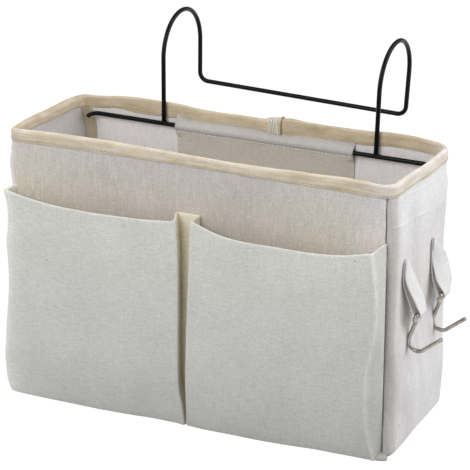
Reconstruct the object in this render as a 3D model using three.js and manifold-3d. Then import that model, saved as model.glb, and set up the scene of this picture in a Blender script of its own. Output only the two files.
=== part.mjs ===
// Bedside caddy: a board-stiffened cloth bag with two pleated front pockets, bound at the rim,
// hung from a bed rail by a bent wire hanger, with two wire hooks on cloth loops at its right side.
// Millimetres. +X is the bag's right, +Y its back (the rail side), +Z up.
// The origin lies on the underside of the base, below the middle of the bag.
import * as THREE from "three";
import { mergeVertices } from "three/addons/utils/BufferGeometryUtils.js";
import Module from "manifold-3d";

const wasm = await Module();
wasm.setup();

// Bag
const BAG_WIDTH = 350;
const BAG_DEPTH = 130;
const BAG_HEIGHT = 235;
const CORNER_RADIUS = 14;
const CLOTH = 0.9;
const BOARD = 1.0;
const BOARD_TOP_DROP = 8;
const LINING = 0.8;
const BASE_BOARD = 1.6;
const GAP = 0.3;

// Rim binding: a tape folded over the top edge, with its sewn lap at the back
const TAPE = 0.8;
const TAPE_LEG = 12;
const LAP_LENGTH = 14;
const LAP_X = 14;
const CORNER_TAPE = 0.8;
const CORNER_TAPE_FLANK = 2;

// Front pockets: one pleated strip of cloth with a gusset at each pocket's side
const POCKET_DEPTH = 16;
const POCKET_HEIGHT = 185;
const LEFT_POCKET_SAG = 8;
const RIGHT_POCKET_SAG = 10;
const POCKET_BOW = 2;
const POCKET_FLOOR = 1.5;
const PLEAT_X = -1;
const PLEAT_TOP_WIDTH = 12;
const PLEAT_FOOT_WIDTH = 4;
const RIGHT_FOLD_INSET = 8;

// Sleeve inside the back wall that holds the hanger's bar
const SLEEVE_WIDTH = 171;
const SLEEVE_X = 5.5;
const SLEEVE_CLOTH = 0.9;
const SLEEVE_LENGTH = 73;
const SLEEVE_HEAD = 2;
const SLEEVE_BEND = 2.5;
const SLEEVE_CLEARANCE = 0.5;

// Wire hanger
const HANGER_WIRE = 4;
const HANGER_SPAN = 203;
const HANGER_X = 9.5;
const HANGER_ABOVE_RIM = 74;
const RAIL_REACH = 72;
const REAR_BAR_DROP = 1;
const REAR_BEND = 8;
const BAR_DROP = 20;
const BAR_LENGTH = 326;
const BAR_RETURN = 9;
const BAR_BEND = 6;

// Cloth loops and wire hooks on the right side
const LOOP_WIDTH = 16;
const LOOP_CLOTH = 1.5;
const LOOP_LENGTH = 44;
const LOOP_TAB = 4;
const LOOP_BULGE = 5;
const FRONT_LOOP_FROM_FRONT = 38;
const FRONT_LOOP_DROP = 73;
const REAR_LOOP_FROM_BACK = 37;
const REAR_LOOP_DROP = 75.5;
const HOOK_WIRE = 3;
const HOOK_STANDOFF = 11;
const EYE_CLEARANCE = 0.6;
const EYE_SIDE = 4.6;
const EYE_HEIGHT = 10.5;
const EYE_BEND = 3;
const EYE_FOOT_BEND = 2;
const SHANK = 15;
const HOOK_BEND = 8;
const HOOK_TIP = 20;
const HOOK_TIP_RISE = THREE.MathUtils.degToRad(58);

// Worked-out places
const HALF_WIDTH = BAG_WIDTH / 2;
const HALF_DEPTH = BAG_DEPTH / 2;
const BOARD_INSET = CLOTH + GAP;
const LINING_INSET = BOARD_INSET + BOARD + GAP;
const INNER_FACE = LINING_INSET + LINING;
const TAPE_INNER = INNER_FACE + GAP + TAPE;
const TAPE_FOOT = BAG_HEIGHT - TAPE_LEG;
const WALL_TOP = BAG_HEIGHT - TAPE - GAP;
const WALL_FOOT = CLOTH + GAP;
const BOARD_TOP = WALL_TOP - BOARD_TOP_DROP;
const BOARD_FOOT = WALL_FOOT + BASE_BOARD + GAP;
const LINING_FOOT = BOARD_FOOT + LINING + GAP;
const BAR_Y = HALF_DEPTH - TAPE_INNER - GAP - HANGER_WIRE / 2;
const BAR_Z = BAG_HEIGHT - BAR_DROP;
const SEAM_REACH = CORNER_RADIUS * Math.SQRT1_2;
const LOOPS = {
  front: { y: FRONT_LOOP_FROM_FRONT - HALF_DEPTH, z: BAG_HEIGHT - FRONT_LOOP_DROP },
  rear: { y: HALF_DEPTH - REAR_LOOP_FROM_BACK, z: BAG_HEIGHT - REAR_LOOP_DROP },
};

// Materials
const paint = (color, roughness, metalness = 0) =>
  new THREE.MeshStandardMaterial({ color, roughness, metalness });
const LINEN = paint(0xd9d6cf, 0.95);
const LINEN_INNER = paint(0xd3cdc6, 0.95);
const COTTON_TAPE = paint(0xd2c2a4, 0.9);
const CARD = paint(0xb59f80, 0.95);
const BLACK_WIRE = paint(0x161616, 0.45, 0.3);
const NICKEL = paint(0xb9b4ac, 0.25, 1);

const caddy = new THREE.Group();

function addMesh(parent, name, geometry, material) {
  const mesh = new THREE.Mesh(geometry, material);
  mesh.name = name;
  parent.add(mesh);
  return mesh;
}

// Solids for joins and cuts
function toSolid(geometry) {
  const bare = geometry.clone();
  bare.deleteAttribute("normal");
  bare.deleteAttribute("uv");
  const merged = mergeVertices(bare, 1e-4);
  return new wasm.Manifold(
    new wasm.Mesh({
      numProp: 3,
      vertProperties: new Float32Array(merged.attributes.position.array),
      triVerts: new Uint32Array(merged.index.array),
    }),
  );
}

function toGeometry(solid) {
  const { vertProperties, triVerts } = solid.getMesh();
  const geometry = new THREE.BufferGeometry();
  geometry.setAttribute("position", new THREE.BufferAttribute(vertProperties, 3));
  geometry.setIndex(new THREE.BufferAttribute(triVerts, 1));
  geometry.computeVertexNormals();
  return geometry;
}

// Extrusions along each axis
const AXIS = {
  x: new THREE.Vector3(1, 0, 0),
  y: new THREE.Vector3(0, 1, 0),
  z: new THREE.Vector3(0, 0, 1),
};

function extrude(shape, depth, curveSegments = 3) {
  return new THREE.ExtrudeGeometry(shape, { depth, curveSegments, bevelEnabled: false });
}

// A shape drawn in (y, z), centred on its own width along x
function extrudeAlongX(shape, width) {
  const turn = new THREE.Matrix4().makeBasis(AXIS.y, AXIS.z, AXIS.x);
  return extrude(shape, width).translate(0, 0, -width / 2).applyMatrix4(turn);
}

// A shape drawn in (x, z), centred on its own width along y
function extrudeAlongY(shape, width) {
  const turn = new THREE.Matrix4().makeBasis(AXIS.x, AXIS.z, AXIS.y.clone().negate());
  return extrude(shape, width).translate(0, 0, -width / 2).applyMatrix4(turn);
}

// Lines with rounded corners: the points where the wire or cloth is straight, and short chords round each bend
const BEND_STEP = THREE.MathUtils.degToRad(15);

function roundedLine(corners, radii) {
  const stations = [corners[0].clone()];
  for (let i = 1; i < corners.length - 1; i += 1) {
    const inward = corners[i].clone().sub(corners[i - 1]).normalize();
    const outward = corners[i + 1].clone().sub(corners[i]).normalize();
    const turn = inward.angleTo(outward);
    const radius = radii[i - 1];
    const reach = radius * Math.tan(turn / 2);
    const start = corners[i].clone().addScaledVector(inward, -reach);
    const towards = outward.clone().addScaledVector(inward, -Math.cos(turn)).normalize();
    const steps = Math.ceil(turn / BEND_STEP);
    for (let k = 0; k <= steps; k += 1) {
      const angle = (turn * k) / steps;
      const point = start.clone().addScaledVector(inward, radius * Math.sin(angle));
      stations.push(point.addScaledVector(towards, radius * (1 - Math.cos(angle))));
    }
  }
  stations.push(corners.at(-1).clone());
  return stations.filter((p, i) => i === 0 || p.distanceTo(stations[i - 1]) > 1e-6);
}

// A curve that visits each station in turn, so an extrusion has one ring at each
class StationPath extends THREE.Curve {
  constructor(stations) {
    super();
    this.stations = stations;
  }

  getPoint(t, target = new THREE.Vector3()) {
    const along = THREE.MathUtils.clamp(t, 0, 1) * (this.stations.length - 1);
    const i = Math.min(Math.floor(along), this.stations.length - 2);
    return target.lerpVectors(this.stations[i], this.stations[i + 1], along - i);
  }

  getUtoTmapping(u) {
    return u;
  }
}

function wire(stations, diameter) {
  const section = new THREE.Shape().absarc(0, 0, diameter / 2, 0, Math.PI * 2);
  return new THREE.ExtrudeGeometry(section, {
    extrudePath: new StationPath(stations),
    steps: stations.length - 1,
    curveSegments: 5,
    bevelEnabled: false,
  });
}

// A line's copy at a distance to its left, with mitred corners
function offsetLine(points, distance) {
  const normal = (a, b) => new THREE.Vector2(a.y - b.y, b.x - a.x).normalize();
  return points.map((point, i) => {
    const before = i > 0 ? normal(points[i - 1], point) : normal(point, points[1]);
    const after = i < points.length - 1 ? normal(point, points[i + 1]) : before;
    const middle = before.clone().add(after).normalize();
    return point.clone().addScaledVector(middle, distance / middle.dot(before));
  });
}

function ribbonShape(line, thickness) {
  const left = offsetLine(line, thickness / 2);
  const right = offsetLine(line, -thickness / 2);
  return new THREE.Shape([...right, ...left.reverse()]);
}

const flat = (x, y) => new THREE.Vector2(x, y);
const space = (x, y, z) => new THREE.Vector3(x, y, z);

// Bag walls: each panel runs along local x and faces local -y, and ends in the seams at the corners
const SIDES = {
  front: { turn: 0, length: BAG_WIDTH, reach: HALF_DEPTH },
  right: { turn: Math.PI / 2, length: BAG_DEPTH, reach: HALF_WIDTH },
  back: { turn: Math.PI, length: BAG_WIDTH, reach: HALF_DEPTH },
  left: { turn: -Math.PI / 2, length: BAG_DEPTH, reach: HALF_WIDTH },
};

function wallPanel({ length, reach }, insetOuter, insetInner) {
  const centreX = length / 2 - CORNER_RADIUS;
  const centreY = CORNER_RADIUS - reach;
  const outer = CORNER_RADIUS - insetOuter;
  const inner = CORNER_RADIUS - insetInner;
  const down = -Math.PI / 2;
  const seam = Math.PI / 4 - GAP / 2 / inner;
  const shape = new THREE.Shape();
  shape.absarc(-centreX, centreY, outer, down - seam, down, false);
  shape.absarc(centreX, centreY, outer, down, down + seam, false);
  shape.absarc(centreX, centreY, inner, down + seam, down, true);
  shape.absarc(-centreX, centreY, inner, down, down - seam, true);
  return shape;
}

function addWalls() {
  for (const [name, side] of Object.entries(SIDES)) {
    const wall = new THREE.Group();
    wall.rotation.z = side.turn;
    caddy.add(wall);

    const panel = extrude(wallPanel(side, 0, CLOTH), WALL_TOP - WALL_FOOT);
    addMesh(wall, `${name}_panel`, panel.translate(0, 0, WALL_FOOT), LINEN);

    const board = new THREE.BoxGeometry(
      side.length - 2 * CORNER_RADIUS,
      BOARD,
      BOARD_TOP - BOARD_FOOT,
    );
    const boardMesh = addMesh(wall, `${name}_board`, board, CARD);
    boardMesh.position.set(
      0,
      BOARD_INSET + BOARD / 2 - side.reach,
      (BOARD_TOP + BOARD_FOOT) / 2,
    );

    const lining = extrude(wallPanel(side, LINING_INSET, INNER_FACE), WALL_TOP - LINING_FOOT);
    addMesh(wall, `${name}_lining`, lining.translate(0, 0, LINING_FOOT), LINEN_INNER);
  }
}

// Base: cloth outside, a board on it, lining on top
function baseShape(inset) {
  const x = HALF_WIDTH - CORNER_RADIUS;
  const y = HALF_DEPTH - CORNER_RADIUS;
  const radius = CORNER_RADIUS - inset;
  const quarter = Math.PI / 2;
  const shape = new THREE.Shape();
  const centres = [flat(x, y), flat(-x, y), flat(-x, -y), flat(x, -y)];
  centres.forEach((c, i) => shape.absarc(c.x, c.y, radius, i * quarter, (i + 1) * quarter, false));
  return shape;
}

function addBase() {
  addMesh(caddy, "base_panel", extrude(baseShape(0), CLOTH), LINEN);
  const board = extrude(baseShape(BOARD_INSET), BASE_BOARD);
  addMesh(caddy, "base_board", board.translate(0, 0, WALL_FOOT), CARD);
  const lining = extrude(baseShape(LINING_INSET), LINING);
  addMesh(caddy, "base_lining", lining.translate(0, 0, BOARD_FOOT), LINEN_INNER);
}

// Rim binding: the tape's folded section carried round the rim, with a thicker lap where its ends meet
const CORNER_STEPS = 6;

function rimStations() {
  const x = HALF_WIDTH - CORNER_RADIUS;
  const y = HALF_DEPTH - CORNER_RADIUS;
  const centres = [flat(x, y), flat(-x, y), flat(-x, -y), flat(x, -y)];
  return centres.flatMap((centre, corner) =>
    Array.from({ length: CORNER_STEPS + 1 }, (_, k) => ({
      centre,
      angle: ((corner + k / CORNER_STEPS) * Math.PI) / 2,
    })),
  );
}

function foldedTape(spread) {
  const outside = -GAP - TAPE - spread;
  const inside = TAPE_INNER + spread;
  const top = BAG_HEIGHT + spread;
  const round = TAPE;
  const slotTop = BAG_HEIGHT - TAPE;
  return [
    flat(outside, TAPE_FOOT),
    flat(outside, top - round),
    flat(outside + round, top),
    flat(inside - round, top),
    flat(inside, top - round),
    flat(inside, TAPE_FOOT),
    flat(INNER_FACE + GAP, TAPE_FOOT),
    flat(INNER_FACE + GAP, slotTop),
    flat(-GAP, slotTop),
    flat(-GAP, TAPE_FOOT),
  ];
}

function sweepRim(profile) {
  const stations = rimStations();
  const positions = stations.flatMap(({ centre, angle }) =>
    profile.flatMap(({ x: inset, y: height }) => [
      centre.x + (CORNER_RADIUS - inset) * Math.cos(angle),
      centre.y + (CORNER_RADIUS - inset) * Math.sin(angle),
      height,
    ]),
  );
  const index = [];
  const count = profile.length;
  for (let i = 0; i < stations.length; i += 1) {
    const here = i * count;
    const next = ((i + 1) % stations.length) * count;
    for (let k = 0; k < count; k += 1) {
      const up = (k + 1) % count;
      index.push(here + k, next + k, next + up, here + k, next + up, here + up);
    }
  }
  const geometry = new THREE.BufferGeometry();
  geometry.setAttribute("position", new THREE.Float32BufferAttribute(positions, 3));
  geometry.setIndex(index);
  return geometry;
}

function addBinding() {
  const lapThickness = TAPE / 2;
  const section = foldedTape(lapThickness).map(({ x: inset, y: height }) =>
    flat(HALF_DEPTH - inset, height),
  );
  const lap = extrudeAlongX(new THREE.Shape(section), LAP_LENGTH).translate(LAP_X, 0, 0);
  const binding = toSolid(sweepRim(foldedTape(0))).add(toSolid(lap));
  addMesh(caddy, "rim_binding", toGeometry(binding), COTTON_TAPE);
}

// Tape over the lining's seam in each inner corner
function addCornerTapes() {
  const outer = CORNER_RADIUS - INNER_FACE - GAP;
  const inner = outer - CORNER_TAPE;
  const shape = new THREE.Shape();
  shape.moveTo(outer, -CORNER_TAPE_FLANK);
  shape.absarc(0, 0, outer, 0, Math.PI / 2, false);
  shape.lineTo(-CORNER_TAPE_FLANK, outer);
  shape.lineTo(-CORNER_TAPE_FLANK, inner);
  shape.absarc(0, 0, inner, Math.PI / 2, 0, true);
  shape.lineTo(inner, -CORNER_TAPE_FLANK);
  const x = HALF_WIDTH - CORNER_RADIUS;
  const y = HALF_DEPTH - CORNER_RADIUS;
  const corners = { back_right: [x, y], back_left: [-x, y], front_left: [-x, -y], front_right: [x, -y] };
  Object.entries(corners).forEach(([name, [cx, cy]], i) => {
    const tape = extrude(shape, TAPE_FOOT - GAP - LINING_FOOT);
    const mesh = addMesh(caddy, `corner_tape_${name}`, tape, COTTON_TAPE);
    mesh.position.set(cx, cy, LINING_FOOT);
    mesh.rotation.z = (i * Math.PI) / 2;
  });
}

// Pockets: the strip starts in the left corner seam, folds out and back at each pocket's side,
// is sewn to the front panel between the pockets, and ends in the right corner seam
const POCKET_LEVELS = 7;
const POCKET_STEPS = 10;

function pocketPlan(up) {
  const sewn = -HALF_DEPTH - GAP - CLOTH / 2;
  const face = sewn - POCKET_DEPTH + CLOTH;
  const seamX = HALF_WIDTH - CORNER_RADIUS + SEAM_REACH + GAP + CLOTH / 2;
  const seamY = CORNER_RADIUS - HALF_DEPTH - SEAM_REACH - GAP - CLOTH / 2;
  const halfPleat = THREE.MathUtils.lerp(PLEAT_FOOT_WIDTH, PLEAT_TOP_WIDTH, up) / 2;
  const pleatLeft = PLEAT_X - halfPleat;
  const pleatRight = PLEAT_X + halfPleat;
  const front = (from, to, sag) =>
    Array.from({ length: POCKET_STEPS + 1 }, (_, k) => {
      const s = k / POCKET_STEPS;
      const bow = POCKET_BOW * Math.sin(Math.PI * s);
      const drop = sag * (1 - (2 * s - 1) ** 4);
      return { point: flat(THREE.MathUtils.lerp(from, to, s), face - bow), drop };
    });
  const edge = (x, y) => ({ point: flat(x, y), drop: 0 });
  return [
    edge(-seamX, seamY),
    ...front(-seamX, pleatLeft, LEFT_POCKET_SAG),
    edge(pleatLeft, sewn),
    edge(pleatRight, sewn),
    ...front(pleatRight, seamX - RIGHT_FOLD_INSET, RIGHT_POCKET_SAG),
    edge(seamX, seamY),
  ];
}

function clothWall(planAt, levels, thickness, foot, top) {
  const positions = [];
  const count = planAt(0).length;
  for (let level = 0; level <= levels; level += 1) {
    const up = level / levels;
    const plan = planAt(up);
    const line = plan.map((station) => station.point);
    for (const side of [-thickness / 2, thickness / 2]) {
      offsetLine(line, side).forEach((p, i) => {
        const height = THREE.MathUtils.lerp(foot, top - plan[i].drop, up);
        positions.push(p.x, p.y, height);
      });
    }
  }
  const at = (level, side, i) => (level * 2 + side) * count + i;
  const index = [];
  const quad = (a, b, c, d) => index.push(a, b, c, a, c, d);
  for (let level = 0; level < levels; level += 1) {
    for (let i = 0; i < count - 1; i += 1) {
      quad(at(level, 0, i), at(level, 0, i + 1), at(level + 1, 0, i + 1), at(level + 1, 0, i));
      quad(at(level, 1, i), at(level + 1, 1, i), at(level + 1, 1, i + 1), at(level, 1, i + 1));
    }
    quad(at(level, 0, 0), at(level + 1, 0, 0), at(level + 1, 1, 0), at(level, 1, 0));
    const end = count - 1;
    quad(at(level, 0, end), at(level, 1, end), at(level + 1, 1, end), at(level + 1, 0, end));
  }
  for (let i = 0; i < count - 1; i += 1) {
    quad(at(0, 0, i), at(0, 1, i), at(0, 1, i + 1), at(0, 0, i + 1));
    quad(at(levels, 0, i), at(levels, 0, i + 1), at(levels, 1, i + 1), at(levels, 1, i));
  }
  const geometry = new THREE.BufferGeometry();
  geometry.setAttribute("position", new THREE.Float32BufferAttribute(positions, 3));
  geometry.setIndex(index);
  return geometry;
}

function addPockets() {
  const wall = clothWall(pocketPlan, POCKET_LEVELS, CLOTH, POCKET_FLOOR, POCKET_HEIGHT);
  const plan = pocketPlan(0).map((station) => station.point);
  const perPocket = POCKET_STEPS + 3;
  const backs = [flat(plan[0].x, plan[perPocket - 1].y), flat(plan.at(-1).x, plan[perPocket].y)];
  const leftFloor = [backs[0], ...plan.slice(1, perPocket)];
  const rightFloor = [...plan.slice(perPocket, -1), backs[1]];
  const solid = [leftFloor, rightFloor].reduce((sum, outline) => {
    const floor = extrude(new THREE.Shape(outline), CLOTH).translate(0, 0, POCKET_FLOOR);
    return sum.add(toSolid(floor));
  }, toSolid(wall));
  addMesh(caddy, "pocket_panel", toGeometry(solid), LINEN);
}

// Sleeve: hangs from the binding inside the back wall, goes over the bar and is sewn down below it
function addSleeve() {
  const sewn = HALF_DEPTH - INNER_FACE - GAP - SLEEVE_CLOTH / 2;
  const clear = HANGER_WIRE / 2 + SLEEVE_CLEARANCE + SLEEVE_CLOTH / 2;
  const top = TAPE_FOOT - GAP;
  const corners = [
    flat(sewn, top),
    flat(sewn, top - SLEEVE_HEAD),
    flat(BAR_Y - clear, BAR_Z + clear),
    flat(BAR_Y - clear, BAR_Z - clear),
    flat(sewn, BAR_Z - clear - (sewn - BAR_Y + clear)),
    flat(sewn, top - SLEEVE_LENGTH),
  ].map((p) => space(0, p.x, p.y));
  const line = roundedLine(corners, [TAPE, SLEEVE_BEND, SLEEVE_BEND, SLEEVE_BEND]);
  const section = ribbonShape(line.map((p) => flat(p.y, p.z)), SLEEVE_CLOTH);
  const sleeve = extrudeAlongX(section, SLEEVE_WIDTH).translate(SLEEVE_X, 0, 0);
  addMesh(caddy, "hanger_sleeve", sleeve, LINEN_INNER);
}

// Hanger: a straight bar with its ends turned forward, and one wire bent into both hooks and the rear bar
function addHanger() {
  const end = BAR_LENGTH / 2;
  const bar = wire(
    roundedLine(
      [
        space(-end, BAR_Y - BAR_RETURN, BAR_Z),
        space(-end, BAR_Y, BAR_Z),
        space(end, BAR_Y, BAR_Z),
        space(end, BAR_Y - BAR_RETURN, BAR_Z),
      ],
      [BAR_BEND, BAR_BEND],
    ),
    HANGER_WIRE,
  );
  addMesh(caddy, "hanger_bar", bar, BLACK_WIRE);

  const left = HANGER_X - HANGER_SPAN / 2;
  const right = HANGER_X + HANGER_SPAN / 2;
  const rear = BAR_Y + RAIL_REACH;
  const top = BAG_HEIGHT + HANGER_ABOVE_RIM;
  const rearBar = BAG_HEIGHT - REAR_BAR_DROP;
  const arch = RAIL_REACH / 2;
  const hooks = wire(
    roundedLine(
      [
        space(left, BAR_Y, BAR_Z),
        space(left, BAR_Y, top),
        space(left, rear, top),
        space(left, rear, rearBar),
        space(right, rear, rearBar),
        space(right, rear, top),
        space(right, BAR_Y, top),
        space(right, BAR_Y, BAR_Z),
      ],
      [arch, arch, REAR_BEND, REAR_BEND, arch, arch],
    ),
    HANGER_WIRE,
  );
  const seat = new THREE.CylinderGeometry(
    HANGER_WIRE / 2 + GAP,
    HANGER_WIRE / 2 + GAP,
    BAR_LENGTH,
    12,
  );
  seat.rotateZ(Math.PI / 2).translate(0, BAR_Y, BAR_Z);
  const foot = toSolid(hooks).subtract(toSolid(seat));
  const upper = foot.decompose().sort((a, b) => b.volume() - a.volume())[0];
  addMesh(caddy, "hanger_hooks", toGeometry(upper), BLACK_WIRE);
}

// Loop: a strip sewn to the side panel by its two ends, drawn in (x, z) from the tab's foot
function loopSection() {
  const back = LOOP_CLOTH / 2;
  const turn = HOOK_WIRE / 2 + EYE_CLEARANCE + LOOP_CLOTH / 2;
  const pivot = flat(HOOK_STANDOFF - GAP, -LOOP_LENGTH);
  const wallSide = new THREE.CubicBezierCurve(
    flat(back, 0),
    flat(back, -LOOP_LENGTH / 2),
    flat(pivot.x - turn, -LOOP_LENGTH * 0.7),
    flat(pivot.x - turn, pivot.y),
  );
  const outSide = new THREE.CubicBezierCurve(
    flat(pivot.x + turn, pivot.y),
    flat(pivot.x + turn, -LOOP_LENGTH * 0.6),
    flat(back + LOOP_CLOTH + LOOP_BULGE, -LOOP_LENGTH * 0.35),
    flat(back + LOOP_CLOTH, 0),
  );
  const fold = Array.from({ length: 7 }, (_, k) => {
    const angle = Math.PI * (1 + (k + 1) / 8);
    return flat(pivot.x + turn * Math.cos(angle), pivot.y + turn * Math.sin(angle));
  });
  const line = [...wallSide.getPoints(8), ...fold, ...outSide.getPoints(8)];
  const outer = offsetLine(line, -LOOP_CLOTH / 2);
  const inner = offsetLine(line, LOOP_CLOTH / 2);
  const shape = new THREE.Shape([
    flat(0, LOOP_TAB),
    ...outer,
    flat(2 * LOOP_CLOTH, LOOP_TAB),
  ]);
  shape.holes.push(new THREE.Path(inner.slice(1, -1)));
  return shape;
}

// Hook: one wire that goes round the eye, down the shank and up to the tip, drawn from its pivot in the eye
function hookStations() {
  const half = LOOP_WIDTH / 2 + EYE_CLEARANCE + HOOK_WIRE / 2;
  const shankFoot = -EYE_HEIGHT - SHANK;
  const run = HOOK_BEND * (1 + Math.tan(HOOK_TIP_RISE / 2));
  const rise = HOOK_BEND * Math.tan(HOOK_TIP_RISE / 2) + HOOK_TIP;
  const bend = space(0, 0, shankFoot - HOOK_BEND);
  const turned = space(run, 0, bend.z);
  const tip = space(
    run + rise * Math.cos(HOOK_TIP_RISE),
    0,
    bend.z + rise * Math.sin(HOOK_TIP_RISE),
  );
  const vertex = space(0, 0, -EYE_HEIGHT);
  const endShare = (HOOK_WIRE + 2 * GAP) / half;
  const eyeEnd = space(0, -half, -EYE_SIDE).lerp(vertex, 1 - endShare);
  return roundedLine(
    [
      eyeEnd,
      space(0, -half, -EYE_SIDE),
      space(0, -half, 0),
      space(0, half, 0),
      space(0, half, -EYE_SIDE),
      vertex,
      bend,
      turned,
      tip,
    ],
    [EYE_FOOT_BEND, EYE_BEND, EYE_BEND, EYE_FOOT_BEND, EYE_BEND, HOOK_BEND, HOOK_BEND],
  );
}

// The lean at which a hook's weight hangs straight below its pivot
function hangingLean(stations) {
  const moment = space(0, 0, 0);
  for (let i = 1; i < stations.length; i += 1) {
    const middle = stations[i - 1].clone().add(stations[i]).multiplyScalar(0.5);
    moment.addScaledVector(middle, stations[i - 1].distanceTo(stations[i]));
  }
  return Math.atan2(moment.x, -moment.z);
}

function addLoopsAndHooks() {
  const stations = hookStations();
  const lean = hangingLean(stations);
  for (const [name, place] of Object.entries(LOOPS)) {
    const loop = new THREE.Group();
    loop.position.set(HALF_WIDTH + GAP, place.y, place.z);
    caddy.add(loop);
    addMesh(loop, `${name}_loop`, extrudeAlongY(loopSection(), LOOP_WIDTH), LINEN);

    const hook = addMesh(loop, `${name}_hook`, wire(stations, HOOK_WIRE), NICKEL);
    hook.position.set(HOOK_STANDOFF - GAP, 0, -LOOP_LENGTH);
    hook.rotation.y = lean;
  }
}

addWalls();
addBase();
addBinding();
addCornerTapes();
addPockets();
addSleeve();
addHanger();
addLoopsAndHooks();

export default caddy;
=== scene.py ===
"""Bedside caddy: linen bag with pleated pockets, bound rim, wire hanger and side hooks."""

import math

import bmesh
import bpy
from mathutils import Matrix, Vector, noise


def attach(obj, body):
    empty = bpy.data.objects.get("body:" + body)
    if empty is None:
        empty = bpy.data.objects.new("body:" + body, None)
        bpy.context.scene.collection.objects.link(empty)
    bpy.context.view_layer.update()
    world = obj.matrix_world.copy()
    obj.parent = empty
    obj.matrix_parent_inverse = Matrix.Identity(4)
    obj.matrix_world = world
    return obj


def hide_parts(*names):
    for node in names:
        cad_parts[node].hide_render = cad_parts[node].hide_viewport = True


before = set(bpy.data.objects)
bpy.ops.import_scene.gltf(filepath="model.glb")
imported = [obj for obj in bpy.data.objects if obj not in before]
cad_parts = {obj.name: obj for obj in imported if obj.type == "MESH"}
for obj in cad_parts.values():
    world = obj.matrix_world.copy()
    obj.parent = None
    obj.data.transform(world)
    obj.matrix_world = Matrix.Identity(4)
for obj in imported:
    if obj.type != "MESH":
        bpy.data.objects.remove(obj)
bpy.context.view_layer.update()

# Sizes of the bag, in millimetres
MM = 0.001
BAG_WIDTH = 350.0
BAG_DEPTH = 130.0
BAG_HEIGHT = 235.0
CORNER = 14.0
CLOTH = 0.9
INNER_FACE = 3.3
PANEL_TOP = 233.0
PANEL_GAP = 0.15
PANEL_LIFT = 0.2
FOOT_ROLL = 4.0
TAPE_FOOT = 223.6
TAPE_CLOTH = 0.7
FRONT_Y = -BAG_DEPTH / 2
BACK_Y = BAG_DEPTH / 2
LINING_GAP = 0.2
LINING_FOOT = 5.5
LINING_CLOTH = 0.6
BASE_Z = 0.6
BASE_LINING_Z = 4.0

# Sizes of the pockets
POCKET_FACE = -80.7
POCKET_SEWN = -66.6
POCKET_FOOT = 0.7
POCKET_MOUTH = 185.5
POCKET_HEM = 10.0
SEAM_X = 171.8
SEAM_Y = -61.8
RIGHT_SEAM = (169.7, -63.4)
PLEAT_X = -1.0

# Sizes of the hanger and its sleeve
HANGER_WIRE = 4.0
BAR_Y = 58.3
BAR_Z = 215.0
BAR_LEFT = -163.0
BAR_RIGHT = 161.8
BAR_SPAN = 325.0
BAR_TURN = 9.0
BAR_BEND = 6.0
BAR_RISE = 0.6
BAR_TILT = 0.0046
RISER_LEFT = -92.0
RISER_RIGHT = 109.6
HANGER_REAR = BAR_Y + 72
HANGER_CORNERS = (
    (-91.6, BAR_Y, 309.6), (-91.6, HANGER_REAR, 309.6), (-92.4, HANGER_REAR, 235.6),
    (107.2, HANGER_REAR, 230.0), (111.8, HANGER_REAR, 305.8), (112.6, BAR_Y, 305.8),
)
HANGER_BEND = 35.7
REAR_BEND = 8.0
WELD_SIZE = (3.0, 2.3, 1.5)
WELD_LIFT = 1.6
SLEEVE_LEFT = -80.0
SLEEVE_RIGHT = 89.4
SLEEVE_CLOTH = 0.8

# Sizes of the loops, each with its seam's place along the side and height, and of the hooks
LOOPS = {"front": (-27.0, 162.0), "rear": (28.0, 159.5)}
LOOP_DROP = 44.0
LOOP_HALF = 8.4
LOOP_FOLD_HALF = 6.2
LOOP_FOLD = 2.9
LOOP_TAB = 3.9
LOOP_CLOTH = 1.2
HOOK_WIRE = 3.4
HOOK_X = 186.0
HOOK_BEND = 8.0
HOOK_RISE = math.radians(58)
HOOK_TIP = 20.0
EYE_HALF = 8.2
EYE_SIDE = 4.6
EYE_HEIGHT = 10.5
EYE_END = 3.6
EYE_BENDS = (2.0, 3.0, 3.0, 2.0, 3.0)
SHANK = 15.0

# The walls: turn round the bag, length and reach from the middle
WALLS = {
    "front": (0.0, BAG_WIDTH, BAG_DEPTH / 2),
    "right": (math.pi / 2, BAG_DEPTH, BAG_WIDTH / 2),
    "back": (math.pi, BAG_WIDTH, BAG_DEPTH / 2),
    "left": (-math.pi / 2, BAG_DEPTH, BAG_WIDTH / 2),
}
WALL_NUMBERS = {wall: number for number, wall in enumerate(WALLS)}
SIDES = ("right", "left")


# Camera at the photograph's angle
CAMERA_AZIMUTH = math.radians(25.82)
CAMERA_ELEVATION = math.radians(20.81)
CAMERA_TARGET = Vector((0.00575, 0.0, 0.14616))
CAMERA_DISTANCE = 1.8872
CAMERA_LENS = 169.6
CAMERA_SENSOR = 36.0


def put_facing(name, data, place, heading):
    """Puts a camera or a light in its place, turned to face its heading."""
    made = bpy.data.objects.new(name, data)
    made.location = place
    made.rotation_euler = heading.to_track_quat("-Z", "Y").to_euler()
    bpy.context.scene.collection.objects.link(made)
    return made


def set_camera():
    data = bpy.data.cameras.new("photo_camera")
    data.lens = CAMERA_LENS
    data.sensor_width = CAMERA_SENSOR
    data.sensor_fit = "HORIZONTAL"
    data.clip_end = 50.0
    back = Vector((
        math.sin(CAMERA_AZIMUTH) * math.cos(CAMERA_ELEVATION),
        -math.cos(CAMERA_AZIMUTH) * math.cos(CAMERA_ELEVATION),
        math.sin(CAMERA_ELEVATION),
    ))
    place = CAMERA_TARGET + back * CAMERA_DISTANCE
    bpy.context.scene.camera = put_facing("photo_camera", data, place, -back)


# Finishes
PLAIN = (1.0, 1.0, 1.0)
ACROSS, UP, SLANTING = 0, 1, 2
THREAD_PITCH = 0.00085
TWILL_PITCH = 0.0012


def grey(tone):
    return (tone, tone, tone)


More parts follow.
